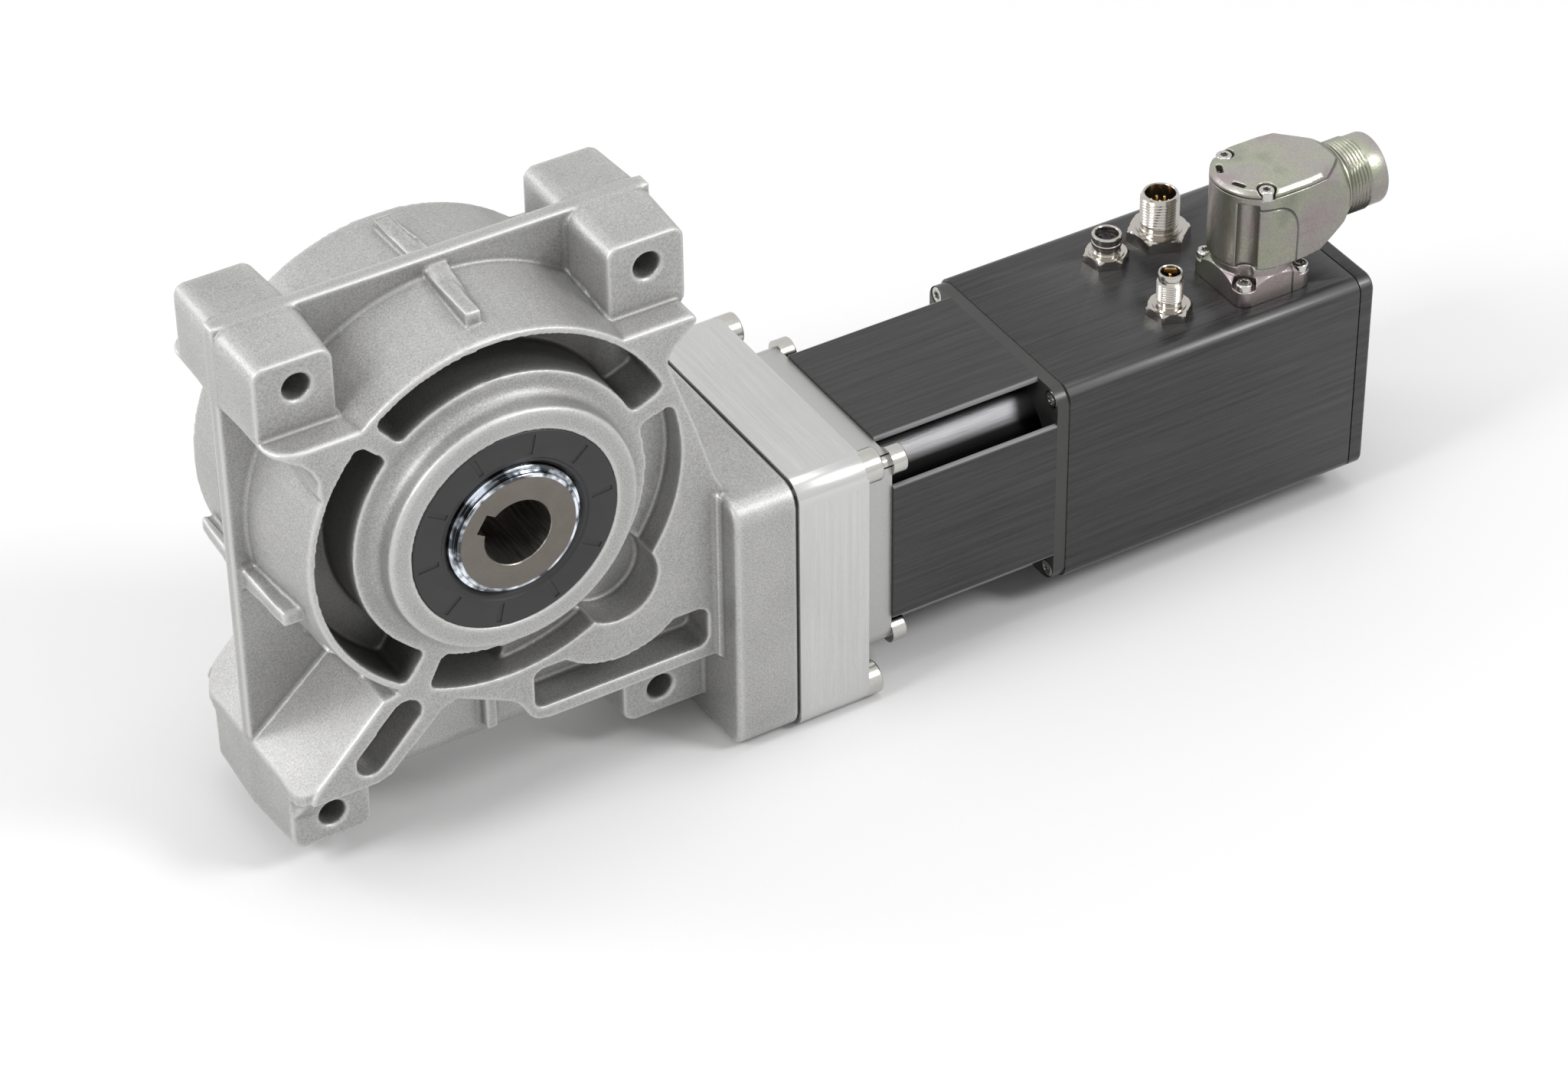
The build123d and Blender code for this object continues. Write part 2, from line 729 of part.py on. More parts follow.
def drive_flange():
    square = Pos(0, motor_z) * RectangleRounded(2 * drive_half - 0.6, 2 * drive_half - 0.6, 5.5)
    body = prism_x(square, motor_right, drive_flange_right)
    body -= disc_x(9.0, motor_right - 1, drive_flange_right + 1)
    for y, z in corners(drive_screw_spacing):
        body -= disc_x(2.0, motor_right - 1, drive_flange_right + 1, y, motor_z + z)
        body -= disc_x(2.9, motor_right - 1, motor_right + 1.8, y, motor_z + z)
    return body


def drive_screws():
    bodies = []
    for y, z in corners(drive_screw_spacing):
        x = motor_right
        head = turned_x([
            (x + 0.1, 0), (x + 0.1, 2.5), (x + 0.4, 2.8), (x + 1.8, 2.8), (x + 1.8, 1.9), (x + 9, 1.9), (x + 9, 0),
        ])
        socket = disc_x(1.2, x - 1, x + 1.2)
        bodies.append(Pos(0, y, z) * (head - socket))
    return solids(bodies)


def drive_housing():
    outer = RectangleRounded(2 * drive_half, 2 * drive_half, drive_corner)
    inner = RectangleRounded(2 * (drive_half - drive_wall), 2 * (drive_half - drive_wall), 2.0)
    profile = outer - inner
    for y, z in corners(drive_screw_spacing):
        profile += Pos(y, z) * Circle(3.6)
        profile -= Pos(y, z) * Circle(1.95)
    body = prism_x(Pos(0, motor_z) * profile, drive_flange_right, housing_right)
    for side in (-1, 1):
        for height in (-16.0, 12.0):
            for step in (-1.5, 1.5):
                rail = Pos(side * (drive_half - drive_wall - 0.9), motor_z + height + step) * Rectangle(2.2, 1.4)
                body += prism_x(rail, drive_flange_right, housing_right - 4.0)
    for (x, y), radius in ((round_plug, 5.2), (small_socket, 3.6), (small_plug, 3.2), ((power_x, power_y), 8.5)):
        body -= disc_z(radius, drive_top - 8, drive_top + 1, x, y)
    for x in (power_x - power_screw_spacing, power_x + power_screw_spacing):
        for y in (power_y - power_screw_spacing, power_y + power_screw_spacing):
            body -= disc_z(1.25, drive_top - 6, drive_top + 1, x, y)
    return body


def board(height, x0, x1):
    half = drive_half - drive_wall - 0.9
    return block(x0, x1, -half, half, motor_z + height - 0.78, motor_z + height + 0.78)


def power_board():
    return board(-16.0, 188.0, 280.0)


def control_board():
    body = board(12.0, 188.0, 280.0)
    return body - disc_z(9.5, motor_z + 5, motor_z + 20, power_x, power_y)


def board_chips():
    top = motor_z + 12.0 + 0.78
    low = motor_z - 16.0 + 0.78
    logic = [
        block(196, 210, -8, 6, top, top + 1.6),
        block(214, 221, -24, -17, top, top + 1.2),
        block(196, 204, 14, 22, top, top + 1.2),
    ]
    return solids(logic + [block(196 + 13 * i, 205 + 13 * i, -24, -14, low, low + 2.4) for i in range(6)])


def drive_capacitors():
    top = motor_z - 16.0 + 0.78
    return solids([disc_z(6.2, top, top + 20.0, 202 + 15 * i, 10) for i in range(4)])


def encoder_magnet():
    return disc_x(4.0, 181.0, 183.4)


def encoder_board():
    plate = disc_x(14.0, 185.4, 187.0)
    posts = [disc_x(2.0, drive_flange_right, 185.4, y, motor_z + z) for y, z in ((-11, 0), (11, 0))]
    for post in posts:
        plate += post
    return plate


def drive_end_cap():
    outer = Pos(0, motor_z) * RectangleRounded(2 * drive_half, 2 * drive_half, drive_corner)
    body = prism_x(outer, housing_right + 0.35, drive_right)
    body = fillet(body.faces().sort_by(Axis.X)[-1].edges(), 1.2)
    inner = drive_half - drive_wall - 0.1
    lip = Pos(0, motor_z) * (RectangleRounded(2 * inner, 2 * inner, 2.0) - Rectangle(2 * inner - 3, 2 * inner - 3))
    tongue = prism_x(lip, housing_right - 3.5, housing_right + 1)
    for y, z in corners(drive_screw_spacing):
        tongue -= disc_x(4.0, housing_right - 5, housing_right + 0.4, y, motor_z + z)
    body += tongue
    for y, z in corners(drive_screw_spacing):
        body -= disc_x(2.1, housing_right - 1, drive_right + 1, y, motor_z + z)
        body -= disc_x(3.1, drive_right - 2.2, drive_right + 1, y, motor_z + z)
    return body


def end_cap_screws():
    bodies = []
    for y, z in corners(drive_screw_spacing):
        x = drive_right
        head = turned_x([(x - 2.2, 0), (x - 2.2, 3.0), (x - 0.7, 3.0), (x - 0.3, 2.6), (x - 0.3, 0)])
        shank = disc_x(1.95, x - 12, x - 2.2)
        bodies.append(Pos(0, y, z) * (head + shank - disc_x(1.3, x - 1.5, x)))
    return solids(bodies)


def hex_foot(across, height):
    return prism_z(RegularPolygon(across / 2, 6, major_radius=False), drive_top, drive_top + height)


def round_plug_body():
    """Round plug housing with an M12 thread."""
    x, y = round_plug
    body = Pos(x, y) * Rot(0, 0, 8) * hex_foot(17.0, 4.6)
    body += turned_z([(0, 0), (5.7, 0), (5.7, 6.4), (6.0, 6.8), (6.0, 15.6), (5.3, 16.3), (0, 16.3)], x, y)
    body += turned_z([(0, -7.0), (5.1, -7.0), (5.1, 1), (0, 1)], x, y)
    body -= turned_z([(0, -8), (3.2, -8), (3.2, 6.0), (4.6, 6.0), (4.6, 17), (0, 17)], x, y)
    return body


def round_plug_insert():
    x, y = round_plug
    return turned_z([(0, -7.4), (3.2, -7.4), (3.2, 6.0), (4.6, 6.0), (4.6, 7.4), (0, 7.4)], x, y)


def plug_pins(place, count, circle, radius, low, high):
    x, y = place
    bodies = []
    for i in range(count):
        a = 2 * pi * (i + 0.5) / count
        bodies.append(disc_z(radius, drive_top + low, drive_top + high, x + circle * cos(a), y + circle * sin(a)))
    return bodies


def small_socket_body():
    x, y = small_socket
    body = Pos(x, y) * Rot(0, 0, 8) * hex_foot(12.2, 3.6)
    body += turned_z([(0, 0), (4.5, 0), (4.5, 9.2), (4.2, 9.6), (0, 9.6)], x, y)
    body += turned_z([(0, -6), (3.5, -6), (3.5, 1), (0, 1)], x, y)
    body -= turned_z([(0, -7), (2.4, -7), (2.4, 2.0), (3.5, 2.0), (3.5, 11), (0, 11)], x, y)
    return body


def small_socket_insert():
    x, y = small_socket
    body = turned_z([(0, -6.4), (2.4, -6.4), (2.4, 2.0), (3.5, 2.0), (3.5, 7.6), (0, 7.6)], x, y)
    for i in range(6):
        a = 2 * pi * i / 6
        body -= disc_z(0.45, drive_top + 3.5, drive_top + 9, x + 2.1 * cos(a), y + 2.1 * sin(a))
    return body


def small_plug_body():
    x, y = small_plug
    body = Pos(x, y) * Rot(0, 0, 8) * hex_foot(12.2, 3.6)
    body += turned_z([
        (0, 0), (3.5, 0), (3.5, 5.0), (4.0, 5.4), (4.0, 11.4), (3.4, 11.8), (3.4, 12.4), (3.7, 12.7),
        (3.7, 14.2), (3.4, 14.6), (0, 14.6),
    ], x, y)
    body += turned_z([(0, -6), (3.1, -6), (3.1, 1), (0, 1)], x, y)
    body -= turned_z([(0, -7), (2.0, -7), (2.0, 5.0), (2.9, 5.0), (2.9, 15), (0, 15)], x, y)
    return body


def small_plug_insert():
    x, y = small_plug
    return turned_z([(0, -6.4), (2.0, -6.4), (2.0, 5.0), (2.9, 5.0), (2.9, 7.0), (0, 7.0)], x, y)


def signal_pins():
    bodies = plug_pins(round_plug, 7, 2.7, 0.4, 7.4, 13.4) + plug_pins(round_plug, 1, 0.0, 0.4, 7.4, 13.4)
    return solids(bodies + plug_pins(small_plug, 3, 1.5, 0.45, 7.0, 12.6))


def power_base():
    """Square foot of the angled power plug: sloped webs between the screws and a round collar."""
    square = Pos(power_x, power_y) * RectangleRounded(2 * power_base_half, 2 * power_base_half, 3.6)
    body = prism_z(square, drive_top, drive_top + power_base_height)
    web = turned_z([
        (0, power_base_height - 1), (16.5, power_base_height - 1), (16.5, power_base_height),
        (power_collar_radius + 0.4, power_base_height + 3.4), (0, power_base_height + 3.4),
    ], power_x, power_y)
    body += web & prism_z(square, drive_top, drive_top + power_collar_height)
    for sx in (-1, 1):
        for sy in (-1, 1):
            x = power_x + sx * power_screw_spacing
            y = power_y + sy * power_screw_spacing
            body += disc_z(2.7, drive_top + 1, drive_top + power_screw_seat, x, y)
            body -= disc_z(3.5, drive_top + power_screw_seat, drive_top + power_collar_height, x, y)
    body += turned_z([
        (0, 1), (power_collar_radius - 0.9, 1), (power_collar_radius - 0.9, power_base_height + 2),
        (power_collar_radius, power_base_height + 3), (power_collar_radius, power_collar_height - 0.8),
        (power_collar_radius - 0.8, power_collar_height), (0, power_collar_height),
    ], power_x, power_y)
    for sx in (-1, 1):
        for sy in (-1, 1):
            x = power_x + sx * power_screw_spacing
            y = power_y + sy * power_screw_spacing
            body -= disc_z(2.9, drive_top + power_screw_seat, drive_top + power_collar_height + 1, x, y)
            body -= disc_z(1.2 + screw_gap, drive_top - 1, drive_top + power_collar_height, x, y)
    body += turned_z([(0, -6), (8.4, -6), (8.4, 1), (0, 1)], power_x, power_y)
    return body - disc_z(power_bore_radius, drive_top - 7, drive_top + power_collar_height + 1, power_x, power_y)


def power_base_screws():
    bodies = []
    low = power_screw_seat
    for sx in (-1, 1):
        for sy in (-1, 1):
            x = power_x + sx * power_screw_spacing
            y = power_y + sy * power_screw_spacing
            head = turned_z([
                (0, low), (2.5, low), (2.5, low + 1.7), (2.0, low + 2.2), (1.1, low + 2.3),
                (1.1, low + 1.2), (0, low + 1.2),
            ], x, y)
            bodies.append(head + disc_z(1.2, drive_top - 5, drive_top + low + 0.2, x, y))
    return solids(bodies)


def power_elbow():
    """Turning elbow: round tower that runs into the sideways barrel."""
    low = power_collar_height + 0.1
    neck = barrel_thread_radius + 0.6
    axis_z = drive_top + barrel_height
    tower_top = drive_top + tower_height
    plan = Pos(power_x, power_y) * Circle(tower_radius)
    plan += Polygon(
        (power_x, power_y - tower_radius), (power_x + 9.0, power_y - tower_radius),
        (elbow_end, power_y - neck), (elbow_end, power_y + neck),
        (power_x + 9.0, power_y + tower_radius), (power_x, power_y + tower_radius),
        align=None,
    )
    edge = 1.3
    bulk = prism_z(plan, drive_top + low, tower_top - edge)
    bulk += extrude(Plane.XY.offset(tower_top - edge) * plan, amount=edge, taper=45)
    side_view = Polygon(
        (power_x - 20, drive_top + low), (power_x + 17, drive_top + low), (elbow_end, axis_z - neck),
        (elbow_end, axis_z + neck), (power_x + 14, tower_top), (power_x - 20, tower_top),
        align=None,
    )
    body = bulk & prism_y(side_view, power_y - 20, power_y + 20)
    funnel = [
        (power_x - 20, 0), (power_x - 20, 36.0), (power_x + 8, 22.0), (power_x + 17, 17.0),
        (power_x + 21, 15.0), (elbow_end - 1.6, 13.6), (elbow_end, neck), (elbow_end, 0),
    ]
    body &= Pos(0, power_y, axis_z) * revolve(make_face(Polyline(*funnel, close=True)), Axis.X)
    barrel = [
        (elbow_end - 3, 0), (elbow_end - 3, barrel_thread_radius - 0.6), (elbow_end + 1.2, barrel_thread_radius - 0.6),
        (elbow_end + 1.6, barrel_thread_radius), (thread_end, barrel_thread_radius),
        (thread_end + 0.4, barrel_thread_radius - 0.4), (nose_end - 0.8, barrel_thread_radius - 0.4),
        (nose_end, barrel_thread_radius - 1.2), (nose_end, 0),
    ]
    body += Pos(0, power_y, axis_z) * revolve(make_face(Polyline(*barrel, close=True)), Axis.X)
    body -= Pos(0, power_y, axis_z) * prism_x(Circle(barrel_bore_radius), power_x - 4, nose_end + 1)
    body -= disc_z(tower_bore_radius, drive_top + low - 1, axis_z, power_x, power_y)
    for side in (-1, 1):
        y = power_y + side * power_screw_spacing
        body -= disc_z(3.3, drive_top, tower_top - lid_screw_depth - 1.6, power_x - power_screw_spacing, y)
        y = power_y + side * lid_screw_y
        body -= disc_z(2.9, tower_top - lid_screw_depth, tower_top + 1, power_x - lid_screw_x, y)
        body -= disc_z(1.1 + screw_gap, tower_top - 9, tower_top + 1, power_x - lid_screw_x, y)
    for turn in (-26, 26):
        slot = Pos(power_x, power_y) * Rot(0, 0, 180 + turn) * Pos(tower_radius - 2.8, 0) * Rectangle(1.8, 4.2)
        body -= prism_z(slot, tower_top - 2.4, tower_top + 1)
    return body


def power_elbow_screws():
    bodies = []
    high = tower_height - lid_screw_depth
    for side in (-1, 1):
        x = power_x - lid_screw_x
        y = power_y + side * lid_screw_y
        head = turned_z([
            (0, high), (2.5, high), (2.5, high + 2.2), (2.0, high + 2.8), (1.1, high + 2.9),
            (1.1, high + 1.6), (0, high + 1.6),
        ], x, y)
        bodies.append(head + disc_z(1.1, drive_top + high - 5, drive_top + high + 0.3, x, y))
    return solids(bodies)


def power_insert():
    plug = prism_x(Circle(barrel_bore_radius - seat), elbow_end - 3, nose_end - 7.0)
    return Pos(0, power_y, drive_top + barrel_height) * plug


def power_pins():
    bodies = []
    for i in range(6):
        a = 2 * pi * i / 6
        pin = Pos(6.0 * cos(a), 6.0 * sin(a)) * Circle(1.0)
        bodies.append(Pos(0, power_y, drive_top + barrel_height) * prism_x(pin, nose_end - 7.0, nose_end - 1.5))
    return solids(bodies)


parts = {
    "gear_housing": gear_housing,
    "rear_cover": rear_cover,
    "cover_cord_ring": cover_cord_ring,
    "cover_circlip": cover_circlip,
    "output_sleeve": output_sleeve,
    "hub_key": hub_key,
    "wheel_hub": wheel_hub,
    "wheel_rim": wheel_rim,
    "output_outer_races": output_outer_races,
    "output_inner_races": output_inner_races,
    "output_rollers": output_rollers,
    "front_seal": lambda: output_seal(-1),
    "rear_seal": lambda: output_seal(1),
    "worm_shaft": worm_shaft,
    "worm_outer_races": worm_outer_races,
    "worm_inner_races": worm_inner_races,
    "worm_rollers": worm_rollers,
    "worm_seal": worm_seal,
    "plate_gasket": plate_gasket,
    "adapter_plate": adapter_plate,
    "plate_screws": plate_screws,
    "motor_flange": motor_flange,
    "flange_screws": flange_screws,
    "coupling_worm_hub": lambda: coupling_hub(98.0, 103.5, 7.0, 107.0, 0),
    "coupling_motor_hub": lambda: coupling_hub(107.3, 112.0, 6.0, 103.8, 60),
    "coupling_spider": coupling_spider,
    "motor_housing": motor_housing,
    "stator_core": stator_core,
    "stator_coils": stator_coils,
    "motor_shaft": motor_shaft,
    "rotor_core": rotor_core,
    "rotor_magnets": rotor_magnets,
    "motor_outer_races": motor_outer_races,
    "motor_inner_races": motor_inner_races,
    "motor_rollers": motor_rollers,
    "motor_rear_shield": motor_rear_shield,
    "drive_flange": drive_flange,
    "drive_screws": drive_screws,
    "drive_housing": drive_housing,
    "power_board": power_board,
    "control_board": control_board,
    "board_chips": board_chips,
    "drive_capacitors": drive_capacitors,
    "encoder_magnet": encoder_magnet,
    "encoder_board": encoder_board,
    "drive_end_cap": drive_end_cap,
    "end_cap_screws": end_cap_screws,
    "round_plug_body": round_plug_body,
    "round_plug_insert": round_plug_insert,
    "signal_pins": signal_pins,
    "small_socket_body": small_socket_body,
    "small_socket_insert": small_socket_insert,
    "small_plug_body": small_plug_body,
    "small_plug_insert": small_plug_insert,
    "power_base": power_base,
    "power_base_screws": power_base_screws,
    "power_elbow": power_elbow,
    "power_elbow_screws": power_elbow_screws,
    "power_insert": power_insert,
    "power_pins": power_pins,
}

os.makedirs("parts", exist_ok=True)
for name, make in parts.items():
    export_step(make(), f"parts/{name}.step")
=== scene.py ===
import json
import math

import bmesh
import bpy
from mathutils import Matrix, Vector


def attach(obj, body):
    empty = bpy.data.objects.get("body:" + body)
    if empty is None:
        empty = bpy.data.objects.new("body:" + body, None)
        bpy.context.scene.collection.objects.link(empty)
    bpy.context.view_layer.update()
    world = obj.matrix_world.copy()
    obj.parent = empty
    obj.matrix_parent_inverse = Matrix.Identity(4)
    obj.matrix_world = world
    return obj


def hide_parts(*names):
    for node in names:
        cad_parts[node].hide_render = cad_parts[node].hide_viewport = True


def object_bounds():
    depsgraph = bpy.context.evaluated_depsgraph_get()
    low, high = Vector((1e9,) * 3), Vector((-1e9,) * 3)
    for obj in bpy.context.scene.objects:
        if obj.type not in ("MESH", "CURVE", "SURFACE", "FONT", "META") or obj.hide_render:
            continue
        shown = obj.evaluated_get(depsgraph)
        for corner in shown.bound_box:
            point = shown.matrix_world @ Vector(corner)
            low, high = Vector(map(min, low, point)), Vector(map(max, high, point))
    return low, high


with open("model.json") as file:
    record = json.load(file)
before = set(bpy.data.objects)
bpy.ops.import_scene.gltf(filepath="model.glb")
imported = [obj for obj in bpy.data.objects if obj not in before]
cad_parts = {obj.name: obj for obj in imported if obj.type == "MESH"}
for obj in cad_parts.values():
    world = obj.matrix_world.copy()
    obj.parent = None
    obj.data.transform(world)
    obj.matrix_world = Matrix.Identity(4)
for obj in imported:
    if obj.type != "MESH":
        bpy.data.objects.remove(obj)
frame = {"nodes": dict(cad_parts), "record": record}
cad_box = [list(corner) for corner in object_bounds()]
nodes = frame["nodes"]
MM = 0.001

# places and sizes that the pieces share, in millimetres
motor_z = -63.0
drive_top = -28.5
plate_right = 109.1
motor_left = 123.0
motor_right = 178.2
drive_right = 289.6
plate_screw_spacing = 38.2
flange_screw_spacing = 30.2
drive_screw_spacing = 30.5
round_plug = (247.2, 16.2)
small_socket = (227.6, 15.0)
small_plug = (228.1, -17.0)
power_place = (259.0, -14.7)
power_screw_spacing = 9.9
power_screw_seat = 5.2
tower_height = 38.8
lid_screw_place = (4.3, 10.6)
barrel_height = 24.55
elbow_end = 284.4
weld_distance = 0.002

# camera, in metres and degrees
lens = 115.28
camera_place = Vector((-0.47698, -0.98701, 0.81766))
camera_heading = 30.615
camera_drop = 37.861
camera_roll = -0.683


def aim(heading, drop, roll):
    """Turn of a camera that looks along a heading from the row axis Y, down by drop."""
    e = math.radians(drop)
    t = math.radians(heading)
    forward = Vector((math.sin(t) * math.cos(e), math.cos(t) * math.cos(e), -math.sin(e)))
    turn = forward.to_track_quat("-Z", "Y").to_matrix().to_4x4()
    return turn @ Matrix.Rotation(math.radians(roll), 4, "Z")


camera_data = bpy.data.cameras.new("camera")
camera_data.lens = lens
camera_data.sensor_width = 36.0
camera_data.clip_start = 0.05
camera_data.clip_end = 20.0
camera = bpy.data.objects.new("camera", camera_data)
camera_turn = aim(camera_heading, camera_drop, camera_roll)
camera.matrix_world = Matrix.Translation(camera_place) @ camera_turn
bpy.context.scene.collection.objects.link(camera)
bpy.context.scene.camera = camera


# shader helpers
class Value:
    """A number that varies over the surface; arithmetic on it adds Math nodes."""

    def __init__(self, finish, socket):
        self.finish = finish
        self.socket = socket

    def math(self, operation, a, b):
        node = self.finish.node("ShaderNodeMath", {"operation": operation}, {0: a, 1: b})
        return Value(self.finish, node.outputs[0])

    def __add__(self, other):
        return self.math("ADD", self, other)

    def __radd__(self, other):
        return self.math("ADD", other, self)

    def __sub__(self, other):
        return self.math("SUBTRACT", self, other)

    def __rsub__(self, other):
        return self.math("SUBTRACT", other, self)

    def __mul__(self, other):
        return self.math("MULTIPLY", self, other)

    def __pow__(self, other):
        return self.math("POWER", self, other)

    def __abs__(self):
        return self.math("ABSOLUTE", self, 0.0)

    def least(self, other):
        return self.math("MINIMUM", self, other)

    def most(self, other):
        return self.math("MAXIMUM", self, other)

    def clamp(self, low=0.0, high=1.0):
        return self.most(low).least(high)

    def rise(self, low, high):
        """0 up to low and 1 from high on, both in millimetres; low may be the larger one."""
        return ((self - low * MM) * (1.0 / ((high - low) * MM))).clamp()


class Finish:
    """One material, built from its nodes."""

    def __init__(self, name, world=None):
        self.owner = world or bpy.data.materials.new(name)
        self.owner.use_nodes = True
        self.tree = self.owner.node_tree
        self.tree.nodes.clear()

    def node(self, kind, settings=None, inputs=None):
        """Adds a node with its settings; inputs take numbers, colours, sockets or Values."""
        made = self.tree.nodes.new(kind)
        for key, setting in (settings or {}).items():
            if key == "stops":
                ramp = made.color_ramp
                while len(ramp.elements) < len(setting):
                    ramp.elements.new(0.5)
                for element, (place, colour) in zip(ramp.elements, setting):
                    element.position = place
                    element.color = (*colour, 1.0)
            else:
                setattr(made, key, setting)
        for key, given in (inputs or {}).items():
            socket = made.inputs[key]
            if isinstance(given, Value):
                given = given.socket
            if isinstance(given, bpy.types.NodeSocket):
                self.tree.links.new(given, socket)
            elif socket.type == "RGBA" and len(given) == 3:
                socket.default_value = (*given, 1.0)
            else:
                socket.default_value = given
        return made

    def place(self, stretch=(1, 1, 1)):
        """Object coordinates in metres, stretched along the row axes."""
        coordinates = self.node("ShaderNodeTexCoord").outputs["Object"]
        inputs = {0: coordinates, 1: stretch}
        return self.node("ShaderNodeVectorMath", {"operation": "MULTIPLY"}, inputs).outputs[0]

    def noise(self, scale, stretch=(1, 1, 1), detail=2.0, roughness=0.5):
        inputs = {"Scale": scale, "Detail": detail, "Roughness": roughness}
        inputs["Vector"] = self.place(stretch)
        return Value(self, self.node("ShaderNodeTexNoise", {}, inputs).outputs["Fac"])

    def axis(self, name):
        """One object coordinate, in metres."""
        split = self.node("ShaderNodeSeparateXYZ", {}, {0: self.place()})
        return Value(self, split.outputs[name])

    def reach(self):
        """Distance from the output axis, in metres."""
        x = self.axis("X")
        z = self.axis("Z")
        return (x * x + z * z) ** 0.5

    def ray(self, *kinds):
        """1 for rays of any of the named kinds."""
        path = self.node("ShaderNodeLightPath")
        first, *rest = [Value(self, path.outputs[f"Is {kind} Ray"]) for kind in kinds]
        for other in rest:
            first = first + other
        return first.clamp()

    def edge(self):
        """Above zero on outer edges and below zero in hollows."""
        shape = self.node("ShaderNodeNewGeometry").outputs["Pointiness"]
        return Value(self, shape) - 0.5

    def blend(self, share, low, high, way="MIX"):
        """Colour between low and high, or low times high for the way MULTIPLY."""
        settings = {"data_type": "RGBA", "blend_type": way}
        return self.node("ShaderNodeMix", settings, {0: share, 6: low, 7: high}).outputs[2]

    def ramp(self, share, stops):
        return self.node("ShaderNodeValToRGB", {"stops": stops}, {0: share}).outputs[0]

    def bump(self, height, distance, strength=0.5):
        """Surface normal for a height; the distance is in metres."""
        inputs = {"Height": height, "Distance": distance, "Strength": strength}
        return self.node("ShaderNodeBump", {}, inputs).outputs[0]

    def surface(self, **inputs):
        """Ends the material with a Principled shader; names use _ for a space."""
        values = {key.replace("_", " "): value for key, value in inputs.items()}
        shader = self.node("ShaderNodeBsdfPrincipled", {}, values)
        self.node("ShaderNodeOutputMaterial", {}, {"Surface": shader.outputs[0]})
        return self.owner


def blasted_casting(name, dark, light, pockets=False):
    """Blasted aluminium with fine grain, faint clouds, a painted highlight on outer edges with
    painted shade in hollows, and painted shade in the ring pockets.
    """
    f = Finish(name)
    fine = f.noise(1900, roughness=0.7)
    clouds = f.noise(45, detail=3.0)
    # painted highlight on outer edges and painted shade in hollows, from the surface's pointiness
    painted_edge_light = (f.edge() * 22.0).clamp(-0.35, 0.9)
    share = ((fine - 0.5) * 1.9 + (clouds - 0.5) * 0.5 + 0.42 + painted_edge_light).clamp(0.0, 1.6)
    colour = f.blend(share, dark, light)
    if pockets:
        # painted shade in the ring pockets round the output, none on the right side and weaker at
        # the bottom
        x, z = f.axis("X"), f.axis("Z")
        radius = f.reach()
        ring = radius.rise(42.8, 45.0) * radius.rise(57.0, 55.2)
        painted_pocket_shade = ring * abs(f.axis("Y")).rise(32.4, 28.5) * x.rise(45.0, 38.0)
        pocket_shade_strength = z.rise(-42.0, -33.0).most(x.rise(-22.0, -28.0))
        colour = f.blend(painted_pocket_shade * (pocket_shade_strength * 0.34 + 0.3), colour, (0.040, 0.037, 0.034))
    return f.surface(
        Base_Color=colour,
        Metallic=0.75,
        Roughness=fine * 0.22 + 0.39,
        Normal=f.bump(fine, 0.1 * MM),
    )


def painted_highlights_and_pocket_shade(f, colour):
    """Painted highlights along the black housings' edges and the motor plates' lips, a painted
    highlight band on the motor's black round core and painted shade in the motor's corner grooves.

    Gives the colour, and the metallic share that is 1 in the grooves so the painted shade is black.
    """
    y = abs(f.axis("Y"))
    z = abs(f.axis("Z") - motor_z * MM)
    longer = y.most(z)
    shorter = y.least(z)
    radius = (y * y + z * z) ** 0.5
    on_motor = f.axis("X").rise(motor_right + 0.8, motor_right + 0.2)
    # painted shade: the motor's corner grooves are metallic with a black colour, so they reflect
    # nothing
    pocket = on_motor * longer.rise(32.8, 32.5) * shorter.rise(14.5, 15.5)
    # painted highlight: a band of light along the round core in each corner groove, shifted towards
    # the level plates
    painted_core_band = (1.0 - abs(z - y - 7.0 * MM) * (1.0 / (10.0 * MM))).clamp() ** 1.2
    core = f.blend(radius.rise(32.8, 32.5) * painted_core_band, (0.003, 0.003, 0.003), (0.16, 0.16, 0.165))
    # painted highlight on the edges of the motor plates' lips
    painted_lip_highlight = longer.rise(32.5, 32.9) * shorter.rise(22.9, 23.4)
    # painted highlight along the drive housing's rounded long edges
    corner = (y + z).rise(65.9, 66.3)
    colour = f.blend(pocket, colour, core)
    colour = f.blend(painted_lip_highlight * on_motor, colour, (0.30, 0.30, 0.30))
    return f.blend(corner * (1.0 - on_motor), colour, (0.10, 0.10, 0.10)), pocket


def brushed(
    name, dark, light, along, rough,
    metallic=1.0, depth=0.03, specular=0.5, contrast=1.6, touch=None, corner=None,
):
    """Brushed metal with fine lines along one or two row axes.

    The lines' depth and the distance from the motor's axis where they fade out at a square
    piece's corner are in millimetres; touch changes the colour and gives the metallic share.
    """
    f = Finish(name)
    stretch = [0.022 if axis in along else 1.0 for axis in "XYZ"]
    hair = f.noise(2900, stretch, roughness=0.7)
    streak = f.noise(700, stretch, detail=3.0, roughness=0.65)
    clouds = f.noise(24)
    lines = (hair - 0.5) * 0.9 + (streak - 0.5) * 1.1
    if corner:
        across = abs(f.axis("Y")).least(abs(f.axis("Z") - motor_z * MM))
        lines = lines * across.rise(corner + 1.0, corner)
    share = (lines * contrast + (clouds - 0.5) * 0.4 + 0.5).clamp()
    colour = f.blend(share, dark, light)
    if touch:
        colour, metallic = touch(f, colour)
    return f.surface(
        Base_Color=colour,
        Metallic=metallic,
        Roughness=(lines * 0.16 + rough).clamp(0.08, 0.9),
        Specular_IOR_Level=specular,
        Normal=f.bump(lines, depth * MM),
    )


def plated(name, colour, rough):
    """Smooth plated metal with faint handling marks."""
    f = Finish(name)
    marks = f.noise(900, detail=3.0)
    clouds = f.noise(160)
    dark = [channel * 0.80 for channel in colour]
    return f.surface(
        Base_Color=f.blend((clouds * 0.6 + marks * 0.4).clamp(), dark, colour),
        Metallic=1.0,
        Roughness=rough - 0.05 + marks * 0.1,
        Normal=f.bump(marks, 0.01 * MM, 0.4),
    )


